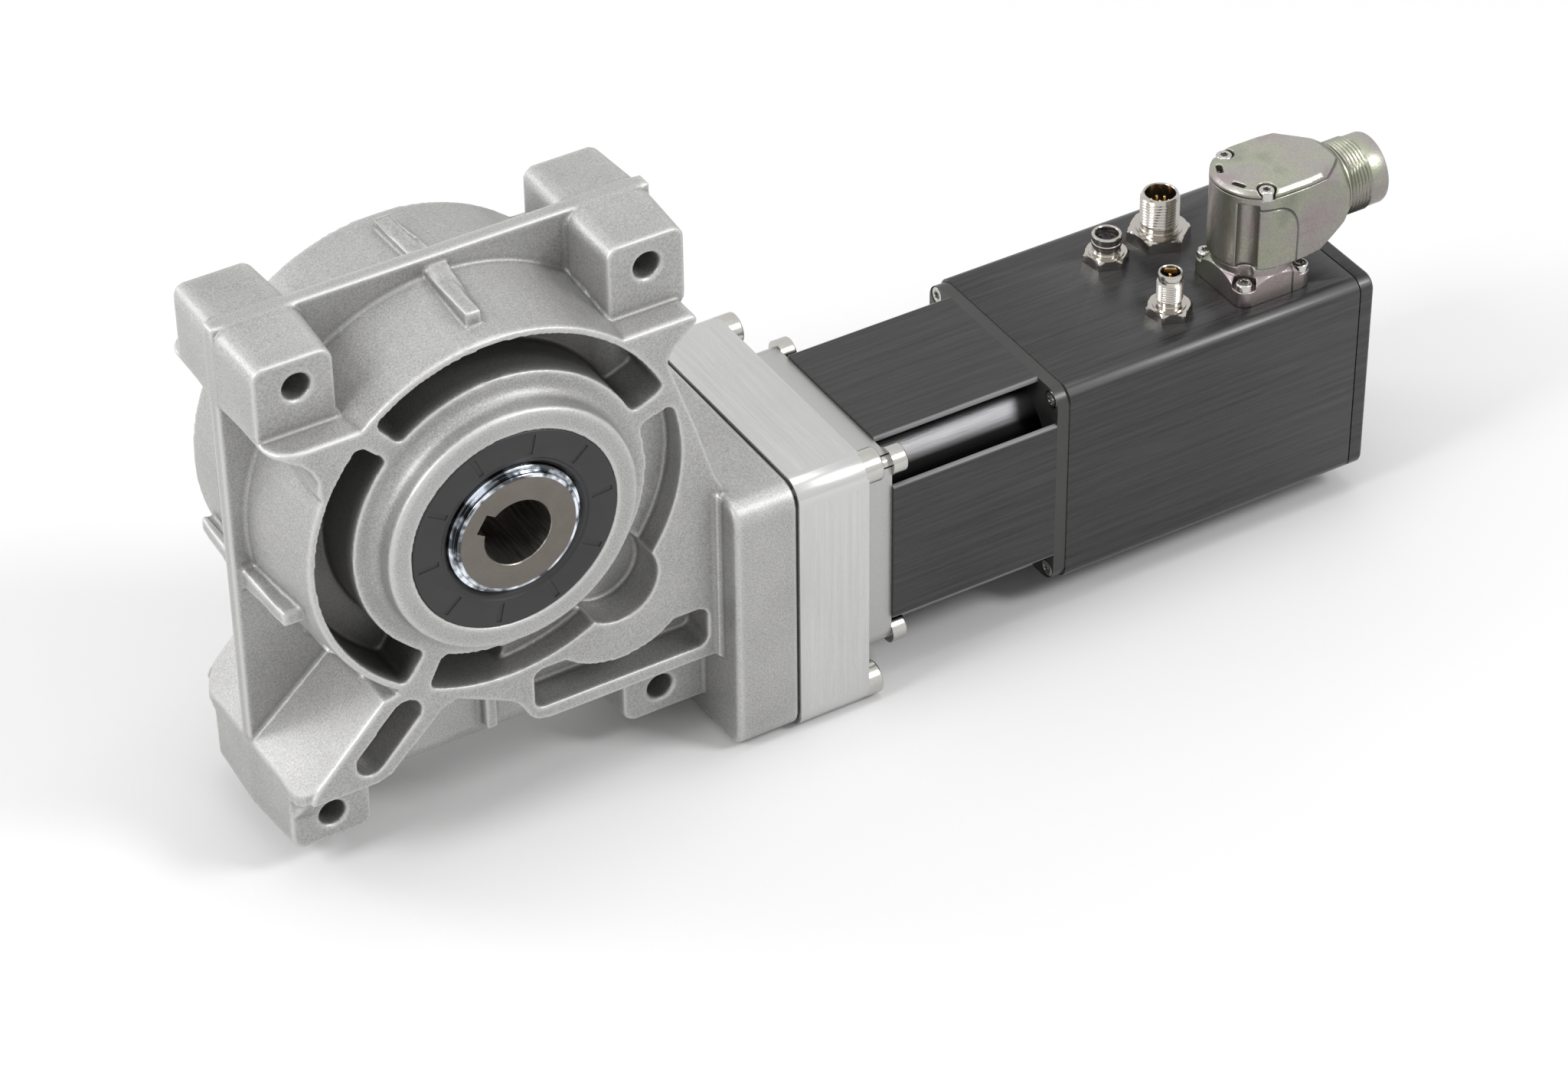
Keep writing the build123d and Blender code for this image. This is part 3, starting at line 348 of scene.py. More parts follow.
def turned_steel(name, dark, light, rough, shaft=False):
    """Machined metal with fine rings about the output axis.

    The shaft has a polished seal land with painted glints of reflected light, and machining streaks
    along its bore on a lighter tone that is painted light coming through the bore.
    """
    f = Finish(name)
    radius = f.reach()
    inputs = {"W": radius, "Scale": 3200.0, "Detail": 2.0}
    texture = f.node("ShaderNodeTexNoise", {"noise_dimensions": "1D"}, inputs)
    rings = Value(f, texture.outputs["Fac"])
    clouds = f.noise(220, detail=3.0)
    colour = f.blend((rings * 0.6 + clouds * 0.5 - 0.05).clamp(), dark, light)
    roughness = rings * 0.16 + (rough - 0.08)
    height = rings
    if shaft:
        land = radius.rise(17.3, 17.6) * radius.rise(22.0, 21.0)
        # the polished land is real; its broken bluish-white and dark patches are a painted
        # reflection
        painted_glint_noise = f.noise(150, (1, 0.2, 1), roughness=0.6)
        streaks = f.noise(1300, (1, 0.06, 1), detail=3.0, roughness=0.7)
        painted_glint = ((painted_glint_noise - 0.42) * 7.0).clamp()
        streak = ((streaks - 0.3) * 2.2).clamp()
        land_with_painted_glints = f.blend(painted_glint, (0.07, 0.075, 0.085), (0.80, 0.85, 0.92))
        # machining streaks along the bore, on a lighter tone that is painted light coming through
        # the bore
        bore = f.blend(streak, (0.14, 0.13, 0.12), (0.46, 0.43, 0.40))
        colour = f.blend(land, colour, land_with_painted_glints)
        colour = f.blend(radius.rise(10.3, 10.1), colour, bore)
        roughness = roughness * (1.0 - land) + land * 0.14
        height = rings + painted_glint_noise * land * 8.0
    return f.surface(
        Base_Color=colour,
        Metallic=0.95,
        Roughness=roughness,
        Normal=f.bump(height, 0.02 * MM),
    )


def moulded(name, dark, light, rough, scale=700, depth=0.04, metallic=0.0):
    """Moulded or sheet material with a fine surface grain, its depth in millimetres."""
    f = Finish(name)
    grain = f.noise(scale, detail=3.0, roughness=0.6)
    clouds = f.noise(70)
    return f.surface(
        Base_Color=f.blend((grain * 0.5 + clouds * 0.6 - 0.05).clamp(), dark, light),
        Metallic=metallic,
        Roughness=rough - 0.08 + grain * 0.16,
        Normal=f.bump(grain, depth * MM),
    )


def yellowed_casting(name):
    """Plated zinc casting with a yellow-green and pink sheen, seam lines and painted shade on the
    sides.
    """
    f = Finish(name)
    drift = f.noise(55)
    grain = ((f.noise(1700, detail=3.0, roughness=0.65) - 0.5) * 1.8 + 0.5).clamp()
    x, y, z = [f.axis(axis) for axis in "XYZ"]
    # one seam is a quarter of an ellipse on the front face, the other is level under the lid
    wide, tall, lid_level = 8.0, 9.8, 8.0
    right = (x - 256.5 * MM).most(0.0) * (1.0 / (wide * MM))
    above = (z + 6.0 * MM).most(0.0) * (1.0 / (tall * MM))
    off_arc = abs((right * right + above * above) ** 0.5 - 1.0) * (wide * MM)
    front = y.rise(-25.5, -26.0)
    joint = abs(z - lid_level * MM).rise(0.4, 0.1)
    seam = (off_arc.rise(0.4, 0.1) * front).most(joint)
    # painted shade: faces that point less upwards are made darker
    normal = f.node("ShaderNodeNewGeometry").outputs["Normal"]
    upward = f.node("ShaderNodeSeparateXYZ", {}, {0: normal}).outputs["Z"]
    side = (1.0 - Value(f, upward).clamp()) * 0.8
    tone = f.ramp(drift, [
        (0.30, (0.34, 0.36, 0.30)),
        (0.44, (0.46, 0.47, 0.38)),
        (0.54, (0.46, 0.44, 0.41)),
        (0.66, (0.45, 0.38, 0.39)),
    ])
    tone = f.blend(grain * 0.6, tone, (0.50, 0.50, 0.48), "MULTIPLY")
    tone = f.blend(side, tone, (0.60, 0.60, 0.58), "MULTIPLY")
    return f.surface(
        Base_Color=f.blend(seam * 0.6, tone, (0.03, 0.03, 0.03)),
        Metallic=0.92,
        Roughness=grain * 0.2 + 0.26,
        Normal=f.bump(grain * 0.06 - seam, 0.6 * MM, 0.7),
    )


finishes = {}


def add(make, name, *values, **options):
    """Makes the finish of one material slot."""
    finishes[name] = make(name, *values, **options)


add(blasted_casting, "housing_casting", (0.31, 0.308, 0.302), (0.57, 0.567, 0.557), pockets=True)
add(
    brushed, "plate_metal", (0.49, 0.49, 0.485), (0.63, 0.63, 0.625), "YZ", 0.27,
    depth=0.01, contrast=0.8, corner=35.6,
)
add(blasted_casting, "flange_metal", (0.30, 0.30, 0.292), (0.48, 0.48, 0.468))
add(
    brushed, "black_anodised", (0.008, 0.008, 0.009), (0.046, 0.046, 0.048), "X", 0.30,
    metallic=0.0, specular=0.45, touch=painted_highlights_and_pocket_shade,
)
add(
    moulded, "dark_flange", (0.045, 0.046, 0.044), (0.075, 0.076, 0.073), 0.34, 1500, 0.02,
    metallic=0.5,
)
add(
    turned_steel, "ground_steel", (0.115, 0.104, 0.092), (0.205, 0.186, 0.165), 0.34,
    shaft=True,
)
add(turned_steel, "hub_iron", (0.16, 0.16, 0.165), (0.26, 0.26, 0.265), 0.45)
add(plated, "bearing_steel", (0.74, 0.74, 0.75), 0.2)
add(turned_steel, "gear_bronze", (0.55, 0.36, 0.15), (0.75, 0.53, 0.26), 0.32)
add(moulded, "seal_rubber", (0.014, 0.014, 0.015), (0.032, 0.032, 0.033), 0.5, 1100, 0.05)
add(moulded, "gasket_sheet", (0.030, 0.030, 0.030), (0.070, 0.070, 0.070), 0.7, 900)
add(plated, "screw_steel", (0.56, 0.55, 0.52), 0.22)
add(plated, "nickel_plate", (0.54, 0.51, 0.47), 0.19)
add(moulded, "plug_insert", (0.008, 0.008, 0.009), (0.022, 0.022, 0.023), 0.42, 1200, 0.02)
add(plated, "contact_gold", (0.85, 0.58, 0.25), 0.18)
add(yellowed_casting, "plated_casting")
add(moulded, "spider_plastic", (0.42, 0.06, 0.05), (0.60, 0.12, 0.09), 0.45)
add(brushed, "core_sheet_steel", (0.16, 0.17, 0.18), (0.36, 0.37, 0.39), "Y", 0.4)
add(plated, "coil_copper", (0.62, 0.28, 0.12), 0.3)
add(plated, "magnet", (0.16, 0.16, 0.17), 0.3)
add(moulded, "board_laminate", (0.02, 0.13, 0.05), (0.05, 0.24, 0.10), 0.35)
add(moulded, "chip_body", (0.015, 0.015, 0.015), (0.035, 0.035, 0.035), 0.5)
add(moulded, "capacitor_can", (0.05, 0.05, 0.07), (0.12, 0.12, 0.15), 0.35)
slot_of = {row["node"]: row["material_slot"] for row in frame["record"]["subparts"]}

# how far the edges of some nodes are rounded, in millimetres, and those of all the others
edge_radius = {
    "adapter_plate": 0.35, "motor_flange": 0.35, "motor_housing": 0.25, "drive_housing": 0.25,
    "output_sleeve": 0.15, "front_seal": 0.12, "rear_seal": 0.12, "rear_cover": 0.4,
    "plate_gasket": 0.05,
}
other_radius = 0.08
# nodes whose flat faces have open holes, so they keep their own edges
holed_faces = ("drive_flange", "drive_end_cap")


def weld(piece):
    joined = piece.modifiers.new("weld", "WELD")
    joined.merge_threshold = weld_distance * MM


def round_edges(piece, node):
    flat = piece.modifiers.new("flat", "DECIMATE")
    flat.decimate_type = "DISSOLVE"
    flat.angle_limit = math.radians(0.4)
    bevel = piece.modifiers.new("edges", "BEVEL")
    bevel.width = edge_radius.get(node, other_radius) * MM
    bevel.segments = 3 if node in edge_radius else 1
    bevel.limit_method = "ANGLE"
    bevel.angle_limit = math.radians(32)
    bevel.harden_normals = True


def dress(node):
    """Gives a CAD node its finish, smooth shading and rounded edges."""
    piece = nodes[node]
    piece.data.materials.clear()
    piece.data.materials.append(finishes[slot_of[node]])
    piece.data.shade_smooth()
    weld(piece)
    if node in holed_faces:
        plain = piece.modifiers.new("plain", "EDGE_SPLIT")
        plain.split_angle = math.radians(28)
    else:
        round_edges(piece, node)


for node in nodes:
    dress(node)


def keep(piece, body, stands_for):
    """Places a finished piece on its body and hides the nodes it stands for."""
    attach(piece, body)
    if stands_for:
        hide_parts(*stands_for)


def cut_end(mesh, x):
    """Cuts a closed mesh square at x, in millimetres, and closes the ring that is left."""
    bm = bmesh.new()
    bm.from_mesh(mesh)
    bmesh.ops.remove_doubles(bm, verts=bm.verts, dist=weld_distance * MM)
    everything = [*bm.verts, *bm.edges, *bm.faces]
    cut = bmesh.ops.bisect_plane(
        bm, geom=everything, plane_co=(x * MM, 0, 0), plane_no=(1, 0, 0), clear_outer=True
    )
    rim = [e for e in cut["geom_cut"] if isinstance(e, bmesh.types.BMEdge)]
    bmesh.ops.triangle_fill(bm, edges=rim, use_beauty=True)
    bmesh.ops.recalc_face_normals(bm, faces=bm.faces)
    bm.to_mesh(mesh)
    bm.free()


# lower left strut of the housing: its slanted top as x and z at the upper and the lower end,
# first at the middle web and then at the foot's side
strut_upper = ((-40.0, -50.0), (-38.0, -48.0))
strut_lower = ((-64.8, -71.6), (-64.8, -76.0))
# where it starts in front of the web, how deep it is, and from which share of that its lower
# end is rounded
strut_web = 2.5
strut_depth = 30.5
strut_rounding = 0.72
# the barrel's outside at the web, and how much smaller it is at the foot's side
barrel_radius = 61.3
barrel_draft = 2.0
# the rear half of the barrel is widened towards the back, by this much outside flare_inner
flare = 1.9
flare_depth = 33.0
flare_inner = 54.5
flare_outer = 61.8
flare_blend = 2.5


def between(a, b, share):
    return a + (b - a) * share


def strut_top(down, forward, rounded):
    """Point on the strut's top, with its shares of the way down and of the way to the front."""
    if rounded:
        past = max(0.0, (forward - strut_rounding) / (1.0 - strut_rounding))
        down *= 1.0 - 0.20 * past ** 2
    upper = [between(a, b, forward) for a, b in zip(*strut_upper)]
    lower = [between(a, b, forward) for a, b in zip(*strut_lower)]
    x, z = [between(a, b, down) for a, b in zip(upper, lower)]
    return x, strut_web + strut_depth * forward, z


def strut_block(bm, side, downs, forwards, other, rounded=False):
    """Closed block between the strut's slanted top and the height that other gives."""
    layers = []
    for height in (lambda x, y, z: z, other):
        layer = []
        for forward in forwards:
            row = []
            for down in downs:
                x, y, z = strut_top(down, forward, rounded)
                place = (x * MM, side * y * MM, height(x, y, z) * MM)
                row.append(bm.verts.new(place))
            layer.append(row)
        layers.append(layer)
    rows, columns = len(forwards), len(downs)
    for layer in layers:
        for i in range(rows - 1):
            for j in range(columns - 1):
                near, far = layer[i], layer[i + 1]
                bm.faces.new((near[j], near[j + 1], far[j + 1], far[j]))
    rim = [(0, j) for j in range(columns)]
    rim += [(i, columns - 1) for i in range(1, rows)]
    rim += [(rows - 1, j) for j in range(columns - 2, -1, -1)]
    rim += [(i, 0) for i in range(rows - 2, 0, -1)]
    low, high = layers
    for (i, j), (k, m) in zip(rim, rim[1:] + rim[:1]):
        bm.faces.new((low[i][j], low[k][m], high[k][m], high[i][j]))


def brick(bm, corners):
    """Closed block from four corners at one end and the four corners at the other."""
    v = [bm.verts.new([c * MM for c in corner]) for corner in corners]
    for first in (0, 4):
        bm.faces.new(v[first:first + 4])
    for i in range(4):
        j = (i + 1) % 4
        bm.faces.new((v[i], v[j], v[j + 4], v[i + 4]))


def bar(bm, ends):
    """Bar along the row axis Y between two rectangles, given as y and their x and z limits."""
    corners = []
    for y, (x0, x1), (z0, z1) in ends:
        corners += [(x0, y, z0), (x1, y, z0), (x1, y, z1), (x0, y, z1)]
    brick(bm, corners)


def under_barrel(x, y, z):
    """Height of the barrel's underside above the strut, but 14 mm above the strut at most."""
    radius = barrel_radius - barrel_draft * (y - strut_web) / strut_depth
    barrel = -math.sqrt(max(radius * radius - x * x, 0.0))
    return max(min(z + 14.0, barrel), z + 0.3)


def housing_cutter(bm):
    """What is taken off above the lower left strut."""
    downs = [i / 16 for i in range(18)]
    for side in (-1, 1):
        strut_block(bm, side, downs, [0.0, 0.25, 0.5, 0.75, 1.05], under_barrel)


def housing_filler(bm):
    """What is added: the strut's full width and the flat bars on the barrel."""
    downs = [i / 16 for i in range(17)]
    forwards = [-0.05, 0.2, 0.45, 0.72, 0.8, 0.88, 0.94, 0.99]
    for side in (-1, 1):
        strut_block(bm, side, downs, forwards, lambda x, y, z: z - 4.0, rounded=True)
        near, far = side * 22.0, side * 29.0
        brick(bm, [
            (-64.4, near, -75.6), (-58.0, near, -71.0), (-58.0, near, -88.0), (-64.4, near, -88.0),
            (-62.4, far, -75.4), (-58.0, far, -71.4), (-58.0, far, -78.0), (-62.4, far, -78.0),
        ])
        left_bar = (-18.2, -13.6)
        bar(bm, [
            (side * 2.0, (-57.0, -63.4), left_bar),
            (side * 25.0, (-56.0, -62.2), left_bar),
        ])
        top_bar = ((-3.6, 0.9), (56.0, 62.4))
        bar(bm, [(side * 2.0, *top_bar), (side * 26.0, *top_bar)])


def block_mesh(build):
    """Mesh with the closed blocks that build adds."""
    bm = bmesh.new()
    build(bm)
    bmesh.ops.recalc_face_normals(bm, faces=bm.faces)
    return bm


def reshape_housing(piece):
    """Trims and fills the housing's mesh copy before it gets its cast skin."""
    cutter_mesh = bpy.data.meshes.new("trim")
    block_mesh(housing_cutter).to_mesh(cutter_mesh)
    cutter = bpy.data.objects.new("trim", cutter_mesh)
    bpy.context.scene.collection.objects.link(cutter)
    trim = piece.modifiers.new("trim", "BOOLEAN")
    trim.operation = "DIFFERENCE"
    trim.object = cutter
    trim.solver = "EXACT"
    trim.use_self = True
    made = settle(piece)
    bpy.data.objects.remove(cutter)
    bm = block_mesh(housing_filler)
    bm.from_mesh(made)
    bm.to_mesh(made)
    bm.free()


def rear_flare(mesh):
    """Widens the rear half of the barrel, which has less draft than the front half."""
    for vertex in mesh.vertices:
        x, y, z = vertex.co / MM
        radius = math.hypot(x, z)
        if 0.0 < y < flare_depth + 1.0 and flare_inner < radius < flare_outer:
            full = min((radius - flare_inner) / flare_blend, 1.0)
            wider = 1.0 + flare * y / flare_depth * full / radius
            vertex.co.x *= wider
            vertex.co.z *= wider


def settle(piece):
    """Turns a piece's modifiers into plain mesh."""
    bpy.context.view_layer.update()
    finished = piece.evaluated_get(bpy.context.evaluated_depsgraph_get())
    made = bpy.data.meshes.new_from_object(finished)
    piece.modifiers.clear()
    piece.data = made
    return made


def cast(name, node, body, voxel, rounds, end=None, reshaped=False):
    """Cast piece: the CAD solid with softly rounded inner and outer edges.

    The voxels are in millimetres; rounds of smoothing follow. A piece with an end is cut there.
    """
    mesh = nodes[node].data.copy()
    if end:
        cut_end(mesh, end)
    piece = bpy.data.objects.new(name, mesh)
    bpy.context.scene.collection.objects.link(piece)
    weld(piece)
    if reshaped:
        reshape_housing(piece)
    skin = piece.modifiers.new("skin", "REMESH")
    skin.mode = "VOXEL"
    skin.voxel_size = voxel * MM * 1.0
    skinned = settle(piece)
    if reshaped:
        rear_flare(skinned)
    soften = piece.modifiers.new("soften", "SMOOTH")
    soften.factor = 0.5
    soften.iterations = rounds
    made = settle(piece)
    made.shade_smooth()
    made.materials.clear()
    made.materials.append(finishes[slot_of[node]])
    keep(piece, body, [node])


cast("cast_gear_housing", "gear_housing", "gear_motor", 0.6, 5, reshaped=True)
cast("cast_plug_elbow", "power_elbow", "power_plug", 0.3, 8, end=elbow_end + 1.0)
cast("cast_plug_base", "power_base", "gear_motor", 0.25, 2)


# turned pieces: rows of (radius, height, shape, amount), in millimetres
def radius_at(angle, radius, height, shape, amount):
    """Radius at an angle; the amount is a nut's corner radius or a thread's pitch and depth."""
    if shape in ("hexagon", "nut"):
        sixth = math.pi / 3
        flat = radius / math.cos((angle + sixth / 2) % sixth - sixth / 2)
        return flat if shape == "hexagon" else min(flat, amount)
    if shape == "star":
        return radius * (1 + 0.17 * math.cos(6 * angle))
    if shape == "thread":
        pitch, depth = amount
        phase = (height / pitch - angle / (2 * math.pi)) % 1.0
        return radius - depth * abs(2 * phase - 1)
    return radius


def turned(bm, rows, place, axis="Z", count=72, turn=0.0):
    """Adds one turned body to bm; its rows run from the outside bottom round to the inside."""
    swap = {
        "Z": lambda a, b, h: (a, b, h),
        "X": lambda a, b, h: (h, a, b),
        "-X": lambda a, b, h: (-h, -a, b),
    }[axis]
    rings = []
    for row in rows:
        radius, height, shape, amount = (*row, "round", 0.0)[:4]
        ring = []
        for i in range(count if radius else 1):
            angle = 2 * math.pi * i / count
            r = radius_at(angle, radius, height, shape, amount)
            point = swap(r * math.cos(angle + turn), r * math.sin(angle + turn), height)
            ring.append(bm.verts.new([(c + p) * MM for c, p in zip(point, place)]))
        rings.append(ring)
    for low, high in zip(rings, rings[1:]):
        for i in range(count):
            j = (i + 1) % count
            if len(low) == 1 and len(high) > 1:
                bm.faces.new((low[0], high[j], high[i]))
            elif len(high) == 1 and len(low) > 1:
                bm.faces.new((low[i], low[j], high[0]))
            elif len(low) > 1:
                bm.faces.new((low[i], low[j], high[j], high[i]))


def keep_mesh(bm, name, body, stands_for, slot, sharp=28):
    """Turns bm into a piece whose edges are sharp above an angle in degrees, and keeps it."""
    bmesh.ops.recalc_face_normals(bm, faces=bm.faces)
    mesh = bpy.data.meshes.new(name)
    bm.to_mesh(mesh)
    bm.free()
    mesh.shade_smooth()
    mesh.set_sharp_from_angle(angle=math.radians(sharp))
    mesh.materials.append(finishes[slot])
    piece = bpy.data.objects.new(name, mesh)
    bpy.context.scene.collection.objects.link(piece)
    keep(piece, body, stands_for)


def threaded(radius, depth, pitch, low, high):
    """Rows of a screw thread between two heights, eight to a turn."""
    steps = round((high - low) / pitch * 8)
    heights = [low + (high - low) * i / steps for i in range(steps + 1)]
    return [(radius, height, "thread", (pitch, depth)) for height in heights]


def nut_rows(across, height):
    """Hexagon foot with its corners turned off at the top."""
    flat = across / 2
    corner = flat / math.cos(math.pi / 6)
    return [
        (0, 0.0), (flat, 0.0, "nut", corner), (flat, height - 0.9, "nut", corner),
        (flat, height - 0.45, "nut", corner - 0.45), (flat, height, "nut", flat + 0.15),
    ]


# how far the plugs' hexagons are turned from the row axes
nut_turn = math.radians(8)


def plug_shell(name, node, place, rows):
    """Nickel-plated plug on the drive's top; its rows start there."""
    bm = bmesh.new()
    turned(bm, rows, (*place, drive_top), turn=nut_turn)
    keep_mesh(bm, name, "gear_motor", [node], "nickel_plate")


plug_shell("round_plug_shell", "round_plug_body", round_plug, [
    *nut_rows(17.0, 4.2),
    (7.0, 4.2), (7.0, 4.6), (5.9, 4.6), (5.6, 4.9), (5.6, 6.2), (5.9, 6.6),
    *threaded(6.0, 0.5, 1.0, 6.9, 15.2),
    (5.5, 15.7), (5.3, 16.2), (4.75, 16.3), (4.6, 16.1), (4.6, 7.0), (0, 7.0),
])
plug_shell("small_plug_shell", "small_plug_body", small_plug, [
    *nut_rows(12.2, 3.2),
    (5.0, 3.2), (5.0, 3.6), (3.6, 3.6), (3.4, 3.9), (3.4, 5.0), (3.8, 5.3),
    *threaded(4.0, 0.4, 0.8, 5.5, 11.2),
    (3.4, 11.6), (3.3, 12.3), (3.55, 12.6), (3.75, 12.9), (3.75, 14.0), (3.5, 14.5),
    (3.1, 14.6), (2.9, 14.4), (2.9, 5.0), (0, 5.0),
])
plug_shell("small_socket_shell", "small_socket_body", small_socket, [
    *nut_rows(12.2, 3.2),
    (5.4, 3.2), (5.4, 3.6), (4.4, 3.7), (4.2, 4.0), (4.2, 5.6), (4.5, 5.9), (4.5, 6.9),
    (4.25, 7.1), (4.25, 7.5), (4.5, 7.7), (4.5, 9.2), (4.3, 9.55), (3.7, 9.6), (3.5, 9.4),
    (3.5, 2.0), (0, 2.0),
])


def barrel_thread():
    """Threaded nose of the power plug, over the cast barrel; its rows start at the elbow's end."""
    bm = bmesh.new()
    rows = [
        (10.0, 0.2), (11.1, 0.4), (11.35, 0.6), (11.35, 1.0), (11.1, 1.2), (10.6, 1.3), (10.6, 1.6),
        *threaded(11.4, 0.65, 1.2, 1.9, 8.9),
        (10.9, 9.1), (10.95, 9.3), (10.95, 14.2), (10.75, 14.7), (10.3, 14.9), (9.5, 14.9),
        (9.05, 14.5), (9.05, 0.2), (10.0, 0.2),
    ]
    turned(bm, rows, (elbow_end, power_place[1], drive_top + barrel_height), "X", 96)
    keep_mesh(bm, "plug_barrel_thread", "power_plug", (), "plated_casting")


barrel_thread()


# motor body: half of one lipped plate's outline, its round core and its bore
plate_lip = [
    (0.0, 34.3), (23.0, 34.3), (23.42, 34.12), (23.6, 33.7), (23.6, 32.9), (23.42, 32.5),
    (23.0, 32.3), (18.6, 31.9), (16.6, 31.2), (15.9, 30.0),
]
core_radius = 32.2
core_start = math.atan2(28.0, 15.9)
core_steps = 32
bore_radius = 29.5
bore_steps = 96


def motor_profile():
    """Outline of the extruded motor body: four lipped plates on a round core."""
    core = []
    for i in range(core_steps + 1):
        angle = core_start + (math.pi / 2 - 2 * core_start) * i / core_steps
        core.append((core_radius * math.cos(angle), core_radius * math.sin(angle)))
    quarter = plate_lip + core + [(b, a) for a, b in reversed(plate_lip[1:])]
    outline = []
    for turn in range(4):
        for a, b in quarter:
            for _ in range(turn):
                a, b = b, -a
            outline.append((a, b))
    return outline


def motor_body():
    """Extruded motor body between the two flanges, with its bore."""
    bm = bmesh.new()
    angles = [2 * math.pi * i / bore_steps for i in range(bore_steps)]
    bore = [(bore_radius * math.sin(angle), bore_radius * math.cos(angle)) for angle in angles]
    ends = []
    for x in (motor_left, motor_right):
        loops = []
        rims = []
        for loop in (motor_profile(), bore):
            verts = [bm.verts.new((x * MM, a * MM, (motor_z + b) * MM)) for a, b in loop]
            rims += [bm.edges.new((verts[i - 1], verts[i])) for i in range(len(verts))]
            loops.append(verts)
        bmesh.ops.triangle_fill(bm, edges=rims, use_beauty=True)
        ends.append(loops)
    for low, high in zip(*ends):
        for i in range(len(low)):
            bm.faces.new((low[i - 1], low[i], high[i], high[i - 1]))
    keep_mesh(bm, "motor_body_shell", "gear_motor", ["motor_housing"], "black_anodised", 22)


motor_body()


def socket_screw(bm, place, axis, turn, head, height, dome, shank, reach, socket, form="star"):
    """Screw with a rounded head of a radius and height, a socket and a plain shank."""
    rows = [(0, -reach), (shank, -reach), (shank, 0.0), (head, 0.0), (head, height - dome)]
    for i in range(1, 6):
        angle = math.radians(18 * i)
        inward = dome * (1 - math.cos(angle))
        rows.append((head - inward, height - dome + dome * math.sin(angle)))
    rows += [
        (socket * 1.2, height), (socket, height - 0.12, form, 0),
        (socket, height * 0.4, form, 0), (0, height * 0.35),
    ]
    turned(bm, rows, place, axis, 60, turn)


def screw_set(name, node, places, axis, body="gear_motor", **sizes):
    """Screws of one size, each turned a little further than the one before."""
    bm = bmesh.new()
    for i, place in enumerate(places):
        socket_screw(bm, place, axis, 0.7 * i, **sizes)
    keep_mesh(bm, name, body, [node], "screw_steel", 40)


square_corners = [(a, b) for a in (-1, 1) for b in (-1, 1)]


def round_motor(x, spacing):
    """Four places at x in a square round the motor's axis."""
    return [(x, a * spacing, motor_z + b * spacing) for a, b in square_corners]


def on_power_plug(height, offsets):
    """Places at a height above the drive's top, by their offsets from the plug's axis."""
    x, y = power_place
    return [(x + a, y + b, drive_top + height) for a, b in offsets]


screw_set(
    "drive_flange_screws", "drive_screws", round_motor(motor_right + 1.8, drive_screw_spacing),
    "-X", head=2.8, height=1.7, dome=0.5, shank=1.85, reach=7.2, socket=1.25,
)
screw_set(
    "plate_screw_set", "plate_screws", round_motor(plate_right - 0.5, plate_screw_spacing),
    "X", head=5.0, height=6.0, dome=0.9, shank=2.9, reach=36.0, socket=2.5, form="hexagon",
)
screw_set(
    "flange_screw_set", "flange_screws", round_motor(motor_left, flange_screw_spacing),
    "X", head=4.25, height=5.0, dome=0.8, shank=2.4, reach=26.0, socket=2.0, form="hexagon",
)
screw_set(
    "end_cap_screw_set", "end_cap_screws", round_motor(drive_right - 2.2, drive_screw_spacing),
    "X", head=3.0, height=1.9, dome=0.6, shank=1.85, reach=9.8, socket=1.3,
)
base_offsets = [(a * power_screw_spacing, b * power_screw_spacing) for a, b in square_corners]
screw_set(
    "plug_base_screw_set", "power_base_screws", on_power_plug(power_screw_seat, base_offsets),
    "Z", head=2.5, height=2.3, dome=0.8, shank=1.15, reach=9.0, socket=1.1,
)
lid_offsets = [(-lid_screw_place[0], side * lid_screw_place[1]) for side in (-1, 1)]
screw_set(
    "plug_elbow_screw_set", "power_elbow_screws", on_power_plug(tower_height - 3.2, lid_offsets),
    "Z", "power_plug", head=2.5, height=2.9, dome=0.8, shank=1.05, reach=4.8, socket=1.1,
)


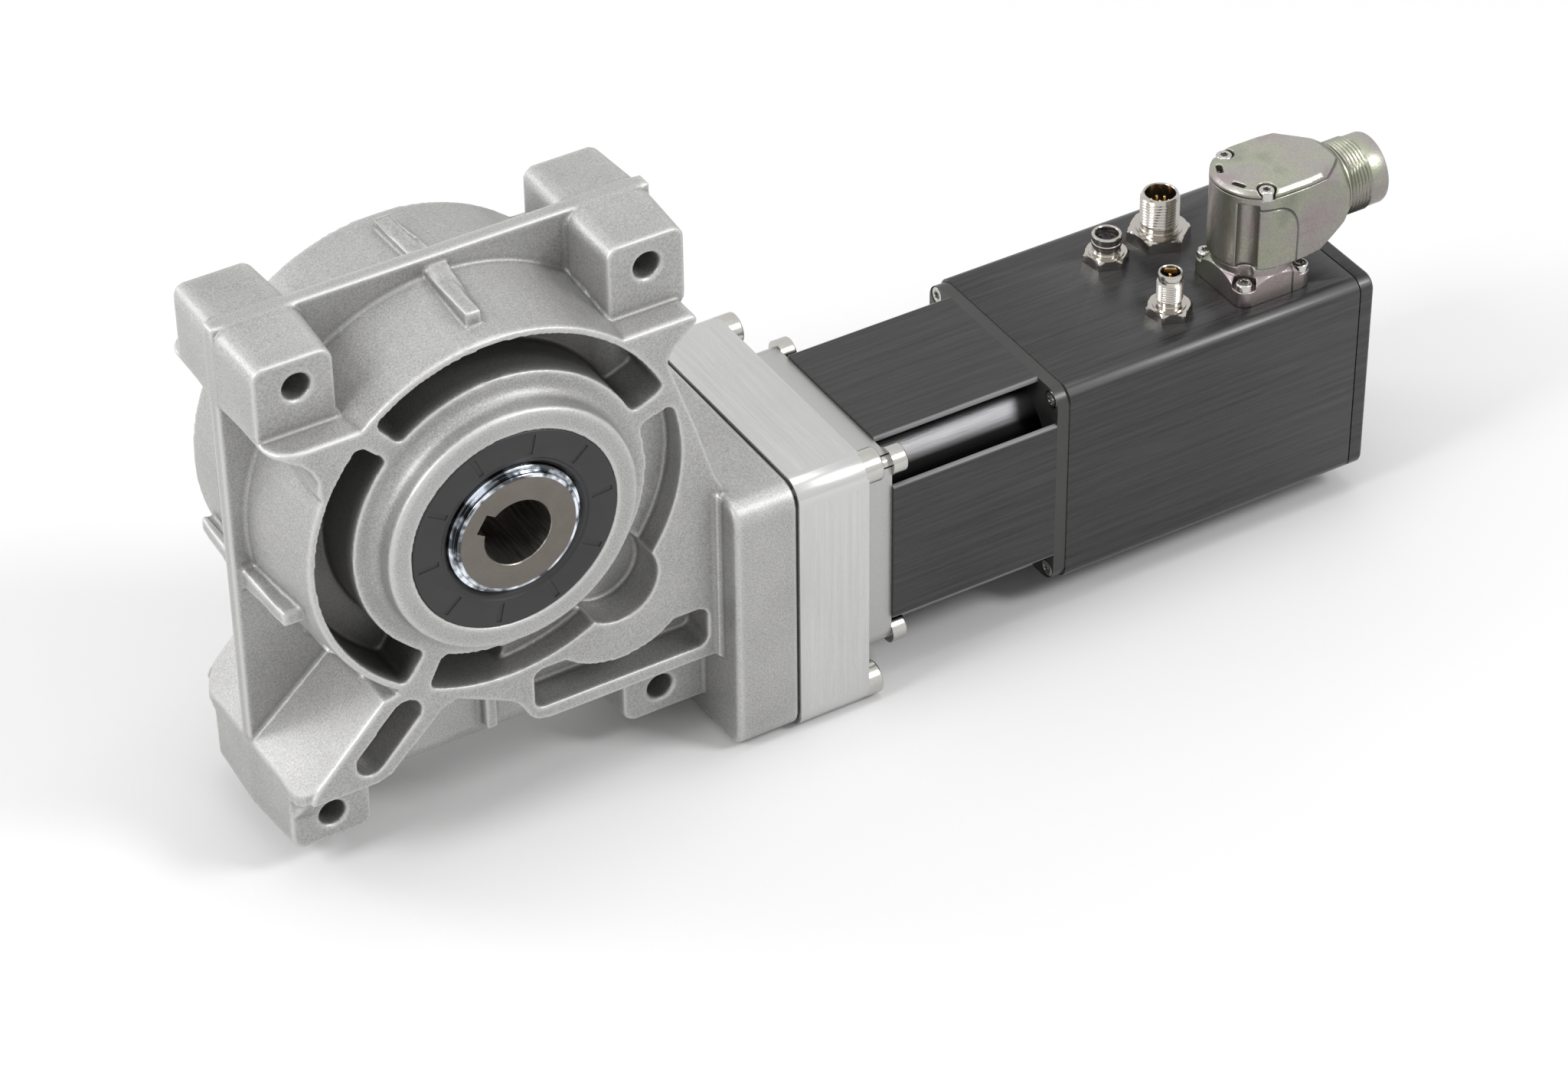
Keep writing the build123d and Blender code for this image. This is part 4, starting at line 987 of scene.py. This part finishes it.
# floor, light and background, in metres and watts
floor_reach = 6.0
lamps = (
    # name, place, aimed at, size, power
    ("top_light", (0.25, 0.1, 1.7), (0.08, 0, 0), (0.9, 0.6), 6.0),
    ("left_light", (-1.3, -0.1, 0.95), (0.0, 0, 0), (0.5, 0.7), 12.0),
    ("right_light", (1.05, -1.0, 1.15), (0.15, 0, 0), (0.5, 0.5), 13.0),
    ("rear_light", (-0.95, 1.05, 0.65), (0.0, 0, 0), (0.6, 0.6), 5.0),
)


def add_floor():
    """Plain matt floor with a faint glow, which fades near the part as a painted shadow, and a
    little more glow seen only in reflections as painted light.
    """
    mesh = bpy.data.meshes.new("floor")
    low = cad_box[0][2]
    r = floor_reach
    mesh.from_pydata([(-r, -r, low), (r, -r, low), (r, r, low), (-r, r, low)], [], [(0, 1, 2, 3)])
    floor = bpy.data.objects.new("floor", mesh)
    bpy.context.scene.collection.objects.link(floor)
    f = Finish("floor")
    matt = f.node("ShaderNodeBsdfDiffuse", {}, {"Color": (0.86, 0.86, 0.86)})
    # painted shadow: the glow fades where the part occludes the floor
    occlusion = f.node("ShaderNodeAmbientOcclusion", {"samples": 8}, {"Distance": 0.22})
    glow_share_with_painted_shadow = Value(f, occlusion.outputs["AO"]) ** 2.0
    # the extra glow for glossy rays is painted light that brightens the part's reflections of the
    # floor
    strength = f.ray("Camera", "Glossy", "Transmission") * 0.20 + f.ray("Glossy") * 0.06
    inputs = {"Color": f.blend(glow_share_with_painted_shadow, (0.0, 0.0, 0.0), (1.0, 1.0, 1.0)), "Strength": strength}
    glow = f.node("ShaderNodeEmission", {}, inputs)
    both = f.node("ShaderNodeAddShader", {}, {0: matt.outputs[0], 1: glow.outputs[0]})
    f.node("ShaderNodeOutputMaterial", {}, {"Surface": both.outputs[0]})
    mesh.materials.append(f.owner)


def add_sky():
    """White world that lights the part less than it shows."""
    world = bpy.data.worlds.new("studio")
    bpy.context.scene.world = world
    w = Finish("studio", world)
    strength = w.ray("Camera", "Glossy", "Transmission") * 0.7 + 0.3
    sky = w.node("ShaderNodeBackground", {}, {"Color": (1, 1, 1), "Strength": strength})
    w.node("ShaderNodeOutputWorld", {}, {"Surface": sky.outputs[0]})


def add_lamp(name, place, target, size, power):
    light = bpy.data.lights.new(name, "AREA")
    light.shape = "RECTANGLE"
    light.size, light.size_y = size
    light.energy = power
    lamp = bpy.data.objects.new(name, light)
    lamp.location = place
    lamp.rotation_euler = (Vector(target) - Vector(place)).to_track_quat("-Z", "Y").to_euler()
    bpy.context.scene.collection.objects.link(lamp)


add_floor()
add_sky()
for lamp in lamps:
    add_lamp(*lamp)
bpy.context.scene.view_settings.view_transform = "Standard"
